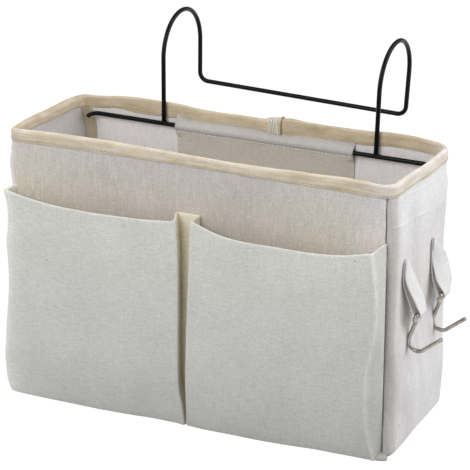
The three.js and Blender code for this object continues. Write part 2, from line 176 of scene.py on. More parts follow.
class Finish:
    """A node material with short calls that add and wire its nodes."""

    def __init__(self, name, **shader_values):
        self.material = bpy.data.materials.new(name)
        self.material.use_nodes = True
        self.tree = self.material.node_tree
        self.shader = self.tree.nodes["Principled BSDF"]
        for socket, value in shader_values.items():
            self.shader.inputs[socket.replace("_", " ")].default_value = value

    def add(self, kind, sockets=None, **settings):
        node = self.tree.nodes.new("ShaderNode" + kind)
        for setting, value in settings.items():
            setattr(node, setting, value)
        for socket, value in (sockets or {}).items():
            if isinstance(value, bpy.types.NodeSocket):
                self.tree.links.new(value, node.inputs[socket])
            else:
                node.inputs[socket].default_value = value
        return node

    def math(self, operation, first, second=0.0):
        return self.add("Math", {0: first, 1: second}, operation=operation).outputs[0]

    def cloth_noise(self, scale, detail, offset=(0, 0, 0)):
        """Noise that follows the threads of a cloth."""
        return self.cloud(self.threads(), scale, detail, offset)

    def solid_noise(self, scale, detail):
        """Noise that fills the space of a piece."""
        return self.cloud(self.add("TexCoord").outputs["Object"], scale, detail)

    def cloud(self, where, scale, detail, offset=(0, 0, 0)):
        mapped = self.add("Mapping", {"Vector": where, "Scale": scale, "Location": offset})
        made = self.add("TexNoise", {"Vector": mapped.outputs[0], "Scale": 1.0, "Detail": detail})
        return made.outputs["Fac"]

    def threads(self):
        return self.add("UVMap", uv_map="weave").outputs["UV"]

    def thread_places(self):
        """How far across and how far up a cloth a spot is."""
        split = self.add("SeparateXYZ", {0: self.threads()})
        return split.outputs[0], split.outputs[1]

    def waves(self, place, pitch):
        return self.math("SINE", self.math("MULTIPLY", place, 2 * math.pi / pitch))

    def tone(self, clouds, middle):
        """Adds clouds up, each with its weight, round a middle tone."""
        total = None
        for cloud, weight in clouds:
            part = self.math("MULTIPLY", self.math("SUBTRACT", cloud, 0.5), weight)
            total = part if total is None else self.math("ADD", total, part)
        return self.math("ADD", total, middle)

    def ramp(self, factor, stops):
        node = self.add("ValToRGB", {"Fac": factor})
        elements = node.color_ramp.elements
        while len(elements) < len(stops):
            elements.new(0.5)
        for element, (place, colour) in zip(elements, stops):
            element.position = place
            element.color = (*colour, 1.0)
        return node.outputs["Color"]

    def multiply(self, first, second):
        both = self.add("Mix", {0: 1.0, 6: first, 7: second}, data_type="RGBA", blend_type="MULTIPLY")
        return both.outputs[2]

    def tint(self, cloth, where, stops):
        """Multiplies a colour by tints that change with a measured place on the piece."""
        low, high = stops[0][0], stops[-1][0]
        share = self.add("MapRange", {"Value": where, "From Min": low, "From Max": high}).outputs[0]
        shares = [((place - low) / (high - low), tone) for place, tone in stops]
        return self.multiply(cloth, self.ramp(share, shares))

    def colour(self, socket):
        self.tree.links.new(socket, self.shader.inputs["Base Color"])

    def roughness(self, socket):
        self.tree.links.new(socket, self.shader.inputs["Roughness"])

    def bump(self, height, strength, distance):
        node = self.add("Bump", {"Height": height, "Strength": strength, "Distance": distance})
        self.tree.links.new(node.outputs["Normal"], self.shader.inputs["Normal"])


def linen(name, dark, light, slub_across, slub_up, painted_light=(), slant=0.0):
    """Plain-woven cloth: crossing threads, slubs each way, soft mottling and a few dark specks.

    Tints, as (direction, stops), paint light and shade onto the cloth in places: painted shade, painted
    highlights and painted warm bounce light. The slanting direction measures across plus slant times up.
    """
    finish = Finish(name, Roughness=0.92, Sheen_Weight=0.1, Sheen_Roughness=0.6, Specular_IOR_Level=0.2)
    across = finish.cloth_noise((110, 760, 1), 4.0)
    up = finish.cloth_noise((760, 100, 1), 4.0, (3.7, 1.9, 0.4))
    mottle = finish.cloth_noise((24, 24, 1), 3.0, (0.3, 0.8, 2.1))
    grain = finish.cloth_noise((800, 800, 1), 1.0, (5.1, 0.2, 1.3))
    tone = finish.tone([(across, slub_across), (up, slub_up), (mottle, 0.4), (grain, 0.9)], 0.55)
    fleck = finish.cloth_noise((240, 420, 1), 0.0, (8.3, 4.4, 0.9))
    specks = finish.ramp(fleck, [(0.0, PLAIN), (0.85, PLAIN), (0.91, (0.55, 0.52, 0.47))])
    cloth = finish.multiply(finish.ramp(tone, [(0.0, dark), (1.0, light)]), specks)
    x, y = finish.thread_places()
    places = (x, y, finish.math("ADD", x, finish.math("MULTIPLY", y, slant)))
    for direction, stops in painted_light:
        cloth = finish.tint(cloth, places[direction], stops)
    finish.colour(cloth)
    crossing = finish.math("MULTIPLY", finish.waves(x, THREAD_PITCH), finish.waves(y, THREAD_PITCH))
    slubs = finish.math("MULTIPLY", finish.math("ADD", across, up), 0.9)
    finish.bump(finish.math("ADD", finish.math("MULTIPLY", crossing, 0.3), slubs), 0.5, 0.0004)
    return finish.material


def cotton_tape(name, dark, light, painted_light=()):
    """Twill tape: fine diagonal ribs, yellowish patches and pale worn folds; tints along it paint light and
    shade.
    """
    finish = Finish(name, Roughness=0.88, Sheen_Weight=0.15, Sheen_Roughness=0.5, Specular_IOR_Level=0.2)
    long = finish.cloth_noise((34, 820, 1), 2.0)
    patch = finish.cloth_noise((55, 120, 1), 2.0, (1.3, 0.6, 0.2))
    grain = finish.cloth_noise((900, 900, 1), 1.0, (2.1, 3.2, 0.7))
    tone = finish.tone([(long, 1.1), (patch, 1.1), (grain, 0.8)], 0.5)
    cloth = finish.ramp(tone, [(0.0, dark), (1.0, light)])
    stain = finish.cloth_noise((90, 160, 1), 2.0, (4.3, 2.6, 1.2))
    cloth = finish.tint(cloth, stain, [(0.35, PLAIN), (0.55, (1.0, 0.99, 0.93)), (0.75, (1.0, 0.97, 0.80))])
    x, y = finish.thread_places()
    if painted_light:
        cloth = finish.tint(cloth, x, painted_light)
    finish.colour(cloth)
    rib = finish.waves(finish.math("ADD", x, y), TWILL_PITCH)
    finish.bump(finish.math("ADD", finish.math("MULTIPLY", rib, 0.3), long), 0.5, 0.0004)
    return finish.material


def sewing_thread(name, colour):
    """Twisted thread, with painted shade in its grooves, where its bump is low."""
    finish = Finish(name, Roughness=0.75, Sheen_Weight=0.2, Specular_IOR_Level=0.3)
    twist = finish.solid_noise((1500, 1500, 1500), 1.0)
    shade = tuple(0.72 * channel for channel in colour)
    finish.colour(finish.ramp(twist, [(0.3, shade), (0.7, colour)]))
    finish.bump(twist, 0.5, 0.0003)
    return finish.material


def powder_coat():
    """Black powder coat with fine orange peel and slightly polished patches."""
    finish = Finish("black_powder_coat", Metallic=0.0, Specular_IOR_Level=0.14)
    peel = finish.solid_noise((1400, 1400, 1400), 2.0)
    worn = finish.solid_noise((60, 60, 60), 2.0)
    finish.colour(finish.ramp(worn, [(0.35, (0.0035, 0.0035, 0.0037)), (0.7, (0.0075, 0.0074, 0.0072))]))
    finish.roughness(finish.ramp(worn, [(0.3, grey(0.26)), (0.7, grey(0.38))]))
    finish.bump(peel, 0.25, 0.0002)
    return finish.material


def nickel_plate():
    """Nickel plate drawn along the wire, with dull and bright patches."""
    finish = Finish("nickel_plate", Metallic=1.0)
    dull = finish.solid_noise((180, 180, 180), 3.0)
    fine = finish.solid_noise((2600, 2600, 700), 1.0)
    finish.colour(finish.ramp(dull, [(0.3, (0.24, 0.22, 0.20)), (0.7, (0.46, 0.43, 0.39))]))
    finish.roughness(finish.ramp(dull, [(0.3, grey(0.34)), (0.7, grey(0.2))]))
    finish.bump(fine, 0.12, 0.0002)
    return finish.material


def grey_card():
    """Stiffening board with pressed fibres."""
    finish = Finish("stiffening_card", Roughness=0.9, Specular_IOR_Level=0.2)
    fibre = finish.solid_noise((500, 500, 120), 3.0)
    finish.colour(finish.ramp(fibre, [(0.3, (0.34, 0.26, 0.17)), (0.7, (0.47, 0.37, 0.26))]))
    finish.bump(fibre, 0.3, 0.0003)
    return finish.material


def studio_floor():
    finish = Finish("studio_floor", Roughness=0.9, Specular_IOR_Level=0.1, Emission_Strength=1.0)
    finish.shader.inputs["Emission Color"].default_value = (*PLAIN, 1.0)
    finish.shader.inputs["Base Color"].default_value = (*grey(0.05), 1.0)
    return finish.material


# Front panel linen, with painted light: painted warm shade just above the pocket mouths, painted shade in the
# middle, painted highlights at the left edge and low at the right
PANEL_LINEN = linen(
    "panel_linen", (0.55, 0.505, 0.445), (0.86, 0.82, 0.745), 0.5, 0.8,
    [
        (UP, [
            (0.173, (0.88, 0.84, 0.765)), (0.18, (0.92, 0.88, 0.80)), (0.187, (0.97, 0.93, 0.855)),
            (0.193, (1.0, 0.963, 0.893)), (0.226, PLAIN),
        ]),
        (ACROSS, [
            (-0.1718, grey(1.12)), (-0.1685, grey(1.05)), (-0.165, PLAIN),
            (-0.125, (0.98, 0.97, 0.98)), (-0.09, (0.93, 0.915, 0.945)), (0.05, (0.91, 0.895, 0.93)),
            (0.085, (0.97, 0.96, 0.98)), (0.105, PLAIN), (0.16, (1.03, 1.02, 1.05)),
        ]),
        (SLANTING, [
            (0.03, PLAIN), (0.045, (1.03, 1.04, 1.08)), (0.05, (1.07, 1.09, 1.17)),
            (0.057, (1.13, 1.15, 1.21)),
        ]),
    ],
    slant=-0.5,
)
BACK_LINEN = linen("back_linen", (0.58, 0.55, 0.50), (0.88, 0.85, 0.80), 0.5, 0.8)

# Linen of the sides, with painted light: painted shade at the front seam and low at the front, painted light
# high up and near the foot
SIDE_LINEN = linen(
    "side_linen", (0.62, 0.60, 0.58), (0.90, 0.88, 0.86), 0.4, 0.7,
    [
        (UP, [
            (0.05, (1.06, 1.04, 1.035)), (0.11, (0.98, 0.955, 0.935)),
            (0.15, (0.99, 0.965, 0.945)), (0.2, (1.11, 1.09, 1.08)),
        ]),
        (ACROSS, [
            (-0.0618, (0.73, 0.725, 0.71)), (-0.0555, (0.76, 0.755, 0.74)),
            (-0.0525, (0.93, 0.925, 0.92)), (-0.0495, PLAIN),
        ]),
        (SLANTING, [
            (-0.05, (0.91, 0.90, 0.89)), (-0.022, (0.82, 0.81, 0.80)),
            (-0.008, (0.92, 0.91, 0.90)), (0.004, PLAIN),
        ]),
    ],
    slant=0.5,
)

# Linen of the pockets, with painted light: warm painted bounce light in the pleat, painted highlights at the
# outer folds, on part of the right pocket and toward the lower left, painted shade past the right fold, on
# the tuck and at the foot
PAINTED_WARM_BOUNCE = (1.08, 1.03, 0.91)
TUCK_PAINTED_SHADE = (0.63, 0.62, 0.60)
POCKET_LINEN = linen(
    "pocket_linen", (0.58, 0.565, 0.52), (0.88, 0.865, 0.815), 0.8, 0.35,
    [
        (ACROSS, [
            (0.019, grey(1.22)), (0.0225, grey(1.18)), (0.0255, grey(1.09)), (0.0305, grey(1.035)),
            (0.037, PLAIN), (0.1835, PLAIN), (0.187, (1.05, 1.0, 0.9)), (0.198, PAINTED_WARM_BOUNCE), (0.222, PAINTED_WARM_BOUNCE),
            (0.233, (1.04, 0.99, 0.89)), (0.2365, PLAIN), (0.32, PLAIN), (0.345, grey(1.04)),
            (0.385, grey(1.04)), (0.3925, PLAIN), (0.3944, grey(1.16)), (0.3956, PLAIN),
            (0.400, grey(0.86)), (0.416, grey(0.86)), (0.425, TUCK_PAINTED_SHADE), (0.45, TUCK_PAINTED_SHADE),
        ]),
        (UP, [
            (0.0, (0.77, 0.765, 0.75)), (0.015, (0.83, 0.825, 0.81)), (0.03, (0.89, 0.885, 0.865)),
            (0.045, (0.945, 0.94, 0.92)), (0.065, (0.985, 0.975, 0.96)), (0.1, (1.0, 0.99, 0.975)),
            (0.16, (1.07, 1.055, 1.02)),
        ]),
        (SLANTING, [
            (0.03, (1.30, 1.30, 1.31)), (0.052, grey(1.2)), (0.075, grey(1.12)), (0.1, grey(1.07)),
            (0.13, grey(1.03)), (0.17, PLAIN),
        ]),
    ],
    slant=1.5,
)
LINING_LINEN = linen("lining_linen", (0.68, 0.635, 0.60), (0.94, 0.90, 0.87), 0.5, 0.6)
# A darker copy of the lining linen: painted shade for the left wall's lining
SHADED_LEFT_LINING_LINEN = linen("left_lining_painted_shade_linen", (0.46, 0.42, 0.40), (0.65, 0.61, 0.58), 0.5, 0.6)
# Sleeve linen: the band above the bar, which faces up, has a cool painted tint for the light falling on it
# from above
SLEEVE_LINEN = linen(
    "sleeve_linen", (0.49, 0.44, 0.365), (0.71, 0.65, 0.55), 0.6, 0.4,
    [(UP, [(-0.0155, PLAIN), (-0.0125, (0.84, 0.87, 0.94)), (0.0, (0.84, 0.87, 0.94))])],
)
LOOP_LINEN = linen("loop_linen", (0.74, 0.71, 0.69), (0.92, 0.89, 0.87), 0.4, 0.5)

# Tapes: from its lap the rim tape has tan painted shade at the back, a painted highlight at the right, is
# cream at the front, and has grey painted shade at the left and tan painted shade again at the back
TAN_PAINTED_SHADE = (0.83, 0.79, 0.73)
PAINTED_HIGHLIGHT = (1.09, 1.13, 1.33)
CREAM = (1.05, 1.05, 1.07)
GREY_PAINTED_SHADE = (0.83, 0.79, 0.78)
RIM_TAPE = cotton_tape("rim_tape", (0.57, 0.46, 0.32), (0.88, 0.79, 0.65), [
    (0.0, TAN_PAINTED_SHADE), (0.14, TAN_PAINTED_SHADE), (0.18, PAINTED_HIGHLIGHT), (0.29, PAINTED_HIGHLIGHT), (0.33, CREAM), (0.62, CREAM), (0.65, GREY_PAINTED_SHADE),
    (0.74, GREY_PAINTED_SHADE), (0.78, TAN_PAINTED_SHADE), (0.95, TAN_PAINTED_SHADE),
])
SEAM_TAPE = cotton_tape("seam_tape", (0.40, 0.32, 0.22), (0.58, 0.50, 0.38))

# Threads, coats and card
YELLOW_THREAD = sewing_thread("yellow_thread", (0.66, 0.53, 0.31))
CREAM_THREAD = sewing_thread("cream_thread", (0.93, 0.89, 0.80))
POWDER_COAT = powder_coat()
NICKEL = nickel_plate()
CARD = grey_card()


# Curves and lines
def lerp(a, b, t):
    return a + (b - a) * t


def spread(first, last, count):
    return [lerp(first, last, k / count) for k in range(count + 1)]


def ease(t):
    t = max(0.0, min(1.0, t))
    return t * t * (3 - 2 * t)


def ridge(distance, width):
    return math.exp(-((distance / width) ** 2))


def ripple(x, y, seed):
    return noise.noise(Vector((x, y, seed)))


def through_table(table, value):
    """Reads an even curve through (value, result) pairs, without a stop at each pair."""
    value = max(table[0][0], min(table[-1][0], value))
    k = next(n for n in range(1, len(table)) if value <= table[n][0])
    (low, first), (high, last) = table[k - 1], table[k]

    def slope(n):
        before, after = table[max(n - 1, 0)], table[min(n + 1, len(table) - 1)]
        return (after[1] - before[1]) / (after[0] - before[0])

    width = high - low
    t = (value - low) / width
    return (
        first * (2 * t ** 3 - 3 * t * t + 1) + slope(k - 1) * width * (t ** 3 - 2 * t * t + t)
        + last * (3 * t * t - 2 * t ** 3) + slope(k) * width * (t ** 3 - t * t)
    )


def line_length(points):
    return sum((b - a).length for a, b in zip(points, points[1:]))


def along_line(points, distance):
    for first, last in zip(points, points[1:]):
        step = (last - first).length
        if distance <= step:
            return first.lerp(last, distance / step)
        distance -= step
    return points[-1].copy()


# Making pieces
def mesh_object(name, bm, finish):
    mesh = bpy.data.meshes.new(name)
    bm.to_mesh(mesh)
    bm.free()
    mesh.materials.append(finish)
    made = bpy.data.objects.new(name, mesh)
    bpy.context.scene.collection.objects.link(made)
    return made


def finish_piece(name, bm, finish, body, stands_for=()):
    piece = mesh_object(name, bm, finish)
    for polygon in piece.data.polygons:
        polygon.use_smooth = True
    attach(piece, body)
    if stands_for:
        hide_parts(*stands_for)
    return piece


def thicken(piece, thickness, offset=-1.0, rounded=True):
    wall = piece.modifiers.new("cloth_thickness", "SOLIDIFY")
    wall.thickness = thickness * MM
    wall.offset = offset
    if rounded:
        soft = piece.modifiers.new("soft_edges", "SUBSURF")
        soft.levels = 1
        soft.render_levels = 1


def cloth_grid(columns, rows, place, flip=False):
    """A net of cloth: place gives each column and row a spot in millimetres and its threads (across, up)."""
    bm = bmesh.new()
    bmesh.ops.create_grid(bm, x_segments=len(columns) - 1, y_segments=len(rows) - 1, size=1.0)
    weave = bm.loops.layers.uv.new("weave")
    threads = {}
    for vert in bm.verts:
        column = columns[round((vert.co.x + 1) / 2 * (len(columns) - 1))]
        row = rows[round((vert.co.y + 1) / 2 * (len(rows) - 1))]
        spot, thread = place(column, row)
        vert.co = spot * MM
        threads[vert] = Vector(thread) * MM
    for face in bm.faces:
        for loop in face.loops:
            loop[weave].uv = threads[loop.vert]
    if flip:
        bmesh.ops.reverse_faces(bm, faces=bm.faces)
    return bm


# Shape of the walls
CORNER_SQUARENESS = {(-1, -1): 7.0, (-1, 1): 4.0, (1, -1): 2.0, (1, 1): 2.0}
SQUARED_FOOT = 45.0
LEFT_BOW = 2.4


def squared(angle, corner, height=BAG_HEIGHT):
    """How much farther than a round bend a soft corner reaches; the right front one squares at its foot."""
    power = CORNER_SQUARENESS[corner]
    if corner == (1, -1):
        power += 4 * ease((SQUARED_FOOT - height) / SQUARED_FOOT)
    return (abs(math.sin(angle)) ** power + abs(math.cos(angle)) ** power) ** (-1 / power)


def near_left(spot):
    """How near a spot is to the left wall, from 0 to 1."""
    return ease((-spot.x - 150) / 20)


def left_bow(spot, out):
    """The left wall's outer cloth bows outward; its lining stays at the board."""
    reach = LEFT_BOW * math.cos(math.pi * spot.y / BAG_DEPTH) * near_left(spot)
    return Vector((-reach * ease((out + 3) / 2.5), 0.0, 0.0))


def wall_spot(side, along, out, height):
    """A place on a wall: along it from its middle, out from its cloth face, and up."""
    turn, length, reach = WALLS[side]
    straight = length / 2 - CORNER
    bend = max(0.0, abs(along) - straight) / CORNER
    sign = math.copysign(1.0, along)
    rotation = Matrix.Rotation(turn, 3, "Z")
    facing = rotation @ Vector((sign, -1.0, 0.0))
    round_out = (CORNER + out) * squared(bend, (round(facing.x), round(facing.y)), height)
    x = sign * (min(abs(along), straight) + round_out * math.sin(bend))
    y = CORNER - reach - round_out * math.cos(bend)
    spot = rotation @ Vector((x, y, height))
    return spot + left_bow(spot, out)


def wall_half(side, gap):
    length = WALLS[side][1]
    return length / 2 - CORNER + CORNER * math.pi / 4 - gap


# Way round the rim, clockwise seen from above, from the lap at the back
LAP_START = 7.0
LAP_OVERLAP = 14.0
QUARTER_BEND = CORNER * math.pi / 2
RIM_SIDES = (
    (None, BAG_WIDTH / 2 - CORNER - LAP_START),
    ((1, 1), QUARTER_BEND),
    (None, BAG_DEPTH - 2 * CORNER),
    ((1, -1), QUARTER_BEND),
    (None, BAG_WIDTH - 2 * CORNER),
    ((-1, -1), QUARTER_BEND),
    (None, BAG_DEPTH - 2 * CORNER),
    ((-1, 1), QUARTER_BEND),
    (None, BAG_WIDTH / 2 - CORNER + LAP_START),
)
RIM_LENGTH = sum(length for _, length in RIM_SIDES)


def facing_out(heading):
    return Vector((math.sin(-heading), math.cos(-heading), 0.0))


def rim_spot(along, out):
    """A place on the rim's way round and the direction out of the bag there."""
    along %= RIM_LENGTH
    place = Vector((LAP_START, BACK_Y, 0.0))
    heading = 0.0
    for corner, length in RIM_SIDES:
        step = min(along, length)
        outward = facing_out(heading)
        if corner is None:
            forward = Vector((math.cos(heading), math.sin(heading), 0.0))
            place = place + forward * step
        else:
            centre = place - outward * CORNER
            heading -= step / CORNER
            outward = facing_out(heading)
            place = centre + outward * CORNER * squared(step / CORNER, corner)
        along -= step
        if along <= 1e-9:
            break
    return place + outward * out, outward


# Wave of the rim: (place across the bag, rise) at the back and at the front
BACK_RISE = (
    (-175.0, -1.9), (-165.0, -3.4), (-152.0, -3.9), (-142.0, -3.0), (-128.0, -1.8), (-100.0, -1.2),
    (-78.0, -2.0), (-60.0, -3.6), (-30.0, -4.0), (6.0, -3.6), (18.0, -2.0), (30.0, -1.2), (60.0, -1.6),
    (100.0, -1.0), (118.0, 0.5), (140.0, 0.3), (155.0, -1.2), (175.0, -2.6),
)
FRONT_RISE = (
    (-175.0, 0.0), (-110.0, 2.2), (-40.0, 1.6), (30.0, 0.2), (80.0, 0.9), (140.0, 2.2), (175.0, 0.6),
)
WAVE_FOOT = 190.0
WAVE_RUN = 40.0


def rim_rise(spot):
    """How far the soft rim stands above or below its even height."""
    front = ease((20 - spot.y) / 60)
    crown = through_table(FRONT_RISE, spot.x) + 0.5 * ripple(spot.x / 30, 0.0, 61.0)
    sink = through_table(BACK_RISE, spot.x) + 0.5 * ripple(spot.x / 30, 0.0, 66.0)
    corner_dip = 2.3 * ridge(math.hypot(spot.x + 172, spot.y - 62), 13)
    return lerp(sink - corner_dip, crown, front)


def wall_rise(spot, height):
    """The rim's rise, fading out down the wall."""
    return rim_rise(spot) * ease((height - WAVE_FOOT) / WAVE_RUN)


# Outer cloth: creases as level, slant, rise, end; folds as size, slant, pitch, widths along and up, seed
WALL_RIPPLE = {"front": 0.8, "right": 2.6, "back": 1.4, "left": 2.0}
SIDE_CREASES = ((217.5, -3.0, 0.55, 70.0), (194.5, -5.0, 0.5, 15.0))
SIDE_FOLDS = ((1.3, -0.26, 9.5, 60.0, 90.0, 4), (0.9, 0.1, 6.0, 50.0, 80.0, 7))
FOLD_DEPTH = 3.0


def toward_back(side, along):
    """A place along a side, counted toward the back on both sides."""
    return along if side == "right" else -along


def side_crease(along, height):
    """Fine raised creases below the rim, which run out toward the back."""
    return sum(
        rise * ridge(height - level, 0.8) * ease((end - along) / 25)
        for level, _, rise, end in SIDE_CREASES
    )


def crease_slant(along, height):
    """How far the cloth near a crease lies above or below its even height, so that the creases slant."""
    return sum(slant * along / 50 * ridge(height - level, 8.0) for level, slant, *_ in SIDE_CREASES)


def side_folds(along, height, seed):
    """Folds in a side's loose cloth, which pinches in above the loops and bulges at the foot."""
    calm = ease(height / 30) * ease((TAPE_FOOT - height) / 50)
    folds = sum(
        size * math.sin((along + slant * height) / pitch + seed)
        * ripple(along / wide, height / tall, seed + shift)
        for size, slant, pitch, wide, tall, shift in SIDE_FOLDS
    )
    pinch = -2.6 * ridge(height - 150, 34) + 2.8 * ridge(height - 44, 28)
    flare = 3.2 * max(0.0, min(1.0, (12 - along) / 62)) * ridge(height, 26)
    belly = 3.0 * ease((along + 62) / 42) * ease((48 - along) / 50) * ridge(height - 50, 34)
    crimps = 0.5 * math.sin((along + 0.22 * height) / 2.6 + seed) * ridge(height - 75, 40)
    hollow = (1.3 - 1.5 * ridge(along + 26, 11)) * ridge(height - 192, 24)
    loose = belly + hollow + crimps * ease((30 - along) / 40)
    return FOLD_DEPTH * folds * calm + pinch * ease((along + 5) / 55) + flare + loose


def outer_swell(side, along, height):
    """How far the cloth stands off its board: slow waves, folds on the sides, creases below the rim."""
    seed = 3.1 * WALL_NUMBERS[side]
    swell = WALL_RIPPLE[side] * (0.5 + 0.5 * ripple(along / 48, height / 130, seed))
    if side in SIDES:
        swell += side_folds(toward_back(side, along), height, seed)
        if side == "left":
            swell += 1.8 * ease((along - 20) / 40) * ridge(height - 200, 28)
        swell += side_crease(toward_back(side, along), height)
    return max(swell, -0.3) * ease((TAPE_FOOT + 6 - height) / 26)


def seam_waver(side, along, half, height):
    """Both cloths at a corner seam waver together with the seam."""
    seam = (WALL_NUMBERS[side] + (1 if along > 0 else 0)) % 4
    near = ease(1 - (half - abs(along)) / 14)
    waver = 0.9 * ripple(height / 34, 2.7 * seam, 15.0) + 0.4 * ripple(height / 11, 2.7 * seam, 18.0)
    shift = -2.2 if seam == 1 else 0.0
    return near * (waver * ease((TAPE_FOOT - height) / 20) + shift)


def add_outer_panel(side):
    half = wall_half(side, PANEL_GAP)
    roll = FOOT_ROLL * math.pi / 2
    inner_columns = spread(-half + 5, half - 5, round(half / 2.6))
    columns = [-half, -half + 1.2, -half + 2.8, *inner_columns, half - 2.8, half - 1.2, half]
    rows = [0.0, roll * 0.35, roll * 0.7, roll, *spread(roll + 4, roll + 184, 38)]
    rows += spread(roll + 185.5, roll + PANEL_TOP - FOOT_ROLL, 26)
    if side in SIDES:
        lift = roll - FOOT_ROLL - PANEL_LIFT
        near = [level + lift + step for level, *_ in SIDE_CREASES for step in (-1.6, -0.8, 0.0, 0.8, 1.6)]
        rows = sorted([row for row in rows if all(abs(row - other) > 1.1 for other in near)] + near)

    def place(along, up):
        lean = min(1.0, up / roll) * math.pi / 2
        height = PANEL_LIFT + FOOT_ROLL * (1 - math.cos(lean)) + max(0.0, up - roll)
        out = FOOT_ROLL * (math.sin(lean) - 1)
        seam = max(0.0, 1 - (half - abs(along)) / 3.2)
        out += outer_swell(side, along, height) * (1 - seam) * ease((up + 5) / 12)
        out -= 1.5 * seam * seam
        shifted = along + seam_waver(side, along, half, height)
        spot = wall_spot(side, shifted, out, height)
        spot.z += wall_rise(spot, height)
        if side in SIDES:
            spot.z += crease_slant(toward_back(side, along), height)
        return spot, (along, up)

    finish = {"front": PANEL_LINEN, "back": BACK_LINEN}.get(side, SIDE_LINEN)
    bm = cloth_grid(columns, rows, place)
    piece = finish_piece(f"{side}_cloth", bm, finish, "bag", (f"{side}_panel",))
    thicken(piece, CLOTH)


# Base
def add_base():
    """The base cloth: a circle drawn out to the bag's outline, inside the roll of the walls' feet."""
    bm = bmesh.new()
    bmesh.ops.create_circle(bm, cap_ends=True, segments=72, radius=1.0)
    for vert in bm.verts:
        share = (math.atan2(vert.co.y, vert.co.x) / (2 * math.pi)) % 1.0
        vert.co = rim_spot(share * RIM_LENGTH, BASE_Z - FOOT_ROLL)[0] * MM
    faces = bm.faces[:]
    bmesh.ops.recalc_face_normals(bm, faces=faces)
    bmesh.ops.inset_region(bm, faces=faces, thickness=3 * MM, depth=0.0)
    bmesh.ops.inset_region(bm, faces=faces, thickness=14 * MM, depth=0.0)
    weave = bm.loops.layers.uv.new("weave")
    for face in bm.faces:
        for loop in face.loops:
            loop[weave].uv = loop.vert.co.xy
    for vert in bm.verts:
        vert.co.z = BASE_Z * MM
    bm.normal_update()
    upward = [face for face in bm.faces if face.normal.z > 0]
    bmesh.ops.reverse_faces(bm, faces=upward)
    piece = finish_piece("base_cloth", bm, BACK_LINEN, "bag", ("base_panel",))
    thicken(piece, CLOTH, offset=0.0, rounded=False)


def add_base_lining():
    half_x = BAG_WIDTH / 2 - INNER_FACE
    half_y = BAG_DEPTH / 2 - INNER_FACE

    def place(x, y):
        swell = 0.5 + 0.5 * ripple(x / 60, y / 45, 44.0)
        corner = max(0.0, abs(x) - half_x + 8) * max(0.0, abs(y) - half_y + 8) / 64
        shrink = 1 - 0.012 * corner
        return Vector((x * shrink, y * shrink, BASE_LINING_Z + swell)), (x, y)

    bm = cloth_grid(spread(-half_x, half_x, 44), spread(-half_y, half_y, 18), place)
    piece = finish_piece("base_lining_cloth", bm, LINING_LINEN, "bag", ("base_lining",))
    thicken(piece, CLOTH)


# Lining
def add_lining(side):
    inset = INNER_FACE - 0.1
    half = wall_half(side, LINING_GAP)
    seed = 21 + 4.3 * WALL_NUMBERS[side]
    columns = spread(-half, half, round(half / 3))
    rows = spread(LINING_FOOT, PANEL_TOP, 40)

    def place(along, height):
        slow = 0.5 + 0.5 * ripple(along / 55, height / 80, seed)
        fine = 0.3 * ripple(along / 18, height / 60, seed + 5)
        quiet = ease((half - abs(along)) / 14)
        swell = (1.3 * slow + fine) * quiet * ease((PANEL_TOP - 8 - height) / 30)
        swell *= 0.45 if side == "back" else 1.0
        pinch = 0.45 * ease((height - 206) / 14)
        spot = wall_spot(side, along, pinch - inset - max(0.0, swell), height)
        spot.z += wall_rise(spot, height)
        return spot, (along, height)

    bm = cloth_grid(columns, rows, place, flip=True)
    # The left wall's lining gets the copy with painted shade
    finish = SHADED_LEFT_LINING_LINEN if side == "left" else LINING_LINEN
    piece = finish_piece(f"{side}_lining_cloth", bm, finish, "bag", (f"{side}_lining",))
    thicken(piece, LINING_CLOTH)


# Rim binding: its outer and inner faces, its fold, and (place across the bag, shift) of its edges
TAPE_OUTER = 0.55
TAPE_INNER = -3.25
TAPE_HALF = (TAPE_OUTER - TAPE_INNER) / 2
TAPE_LEG = BAG_HEIGHT - TAPE_HALF - TAPE_FOOT
TAPE_WIDTH = 2 * TAPE_LEG + math.pi * TAPE_HALF
BACK_FOOT = (
    (-175.0, 0.5), (-142.0, 0.5), (-120.0, -2.4), (-92.0, -2.2), (-68.0, -0.8), (-43.0, -0.9), (-19.0, -0.3),
    (9.0, -1.0), (38.0, -2.6), (70.0, -0.8), (95.0, -1.0), (175.0, 0.0),
)
FRONT_FOOT = (
    (-175.0, 0.4), (-110.0, -0.3), (-40.0, 1.0), (30.0, 2.2), (80.0, 1.4), (140.0, -0.2), (175.0, 0.4),
)


def tape_foot_shift(spot, outside):
    """How far the tape's edge is above its even height: outside at the front, inside at the back and left."""
    if outside:
        return ease((-spot.y - 40) / 20) * through_table(FRONT_FOOT, spot.x)
    back = ease((spot.y - 40) / 20)
    return lerp(2.2 * near_left(spot), through_table(BACK_FOOT, spot.x), back)


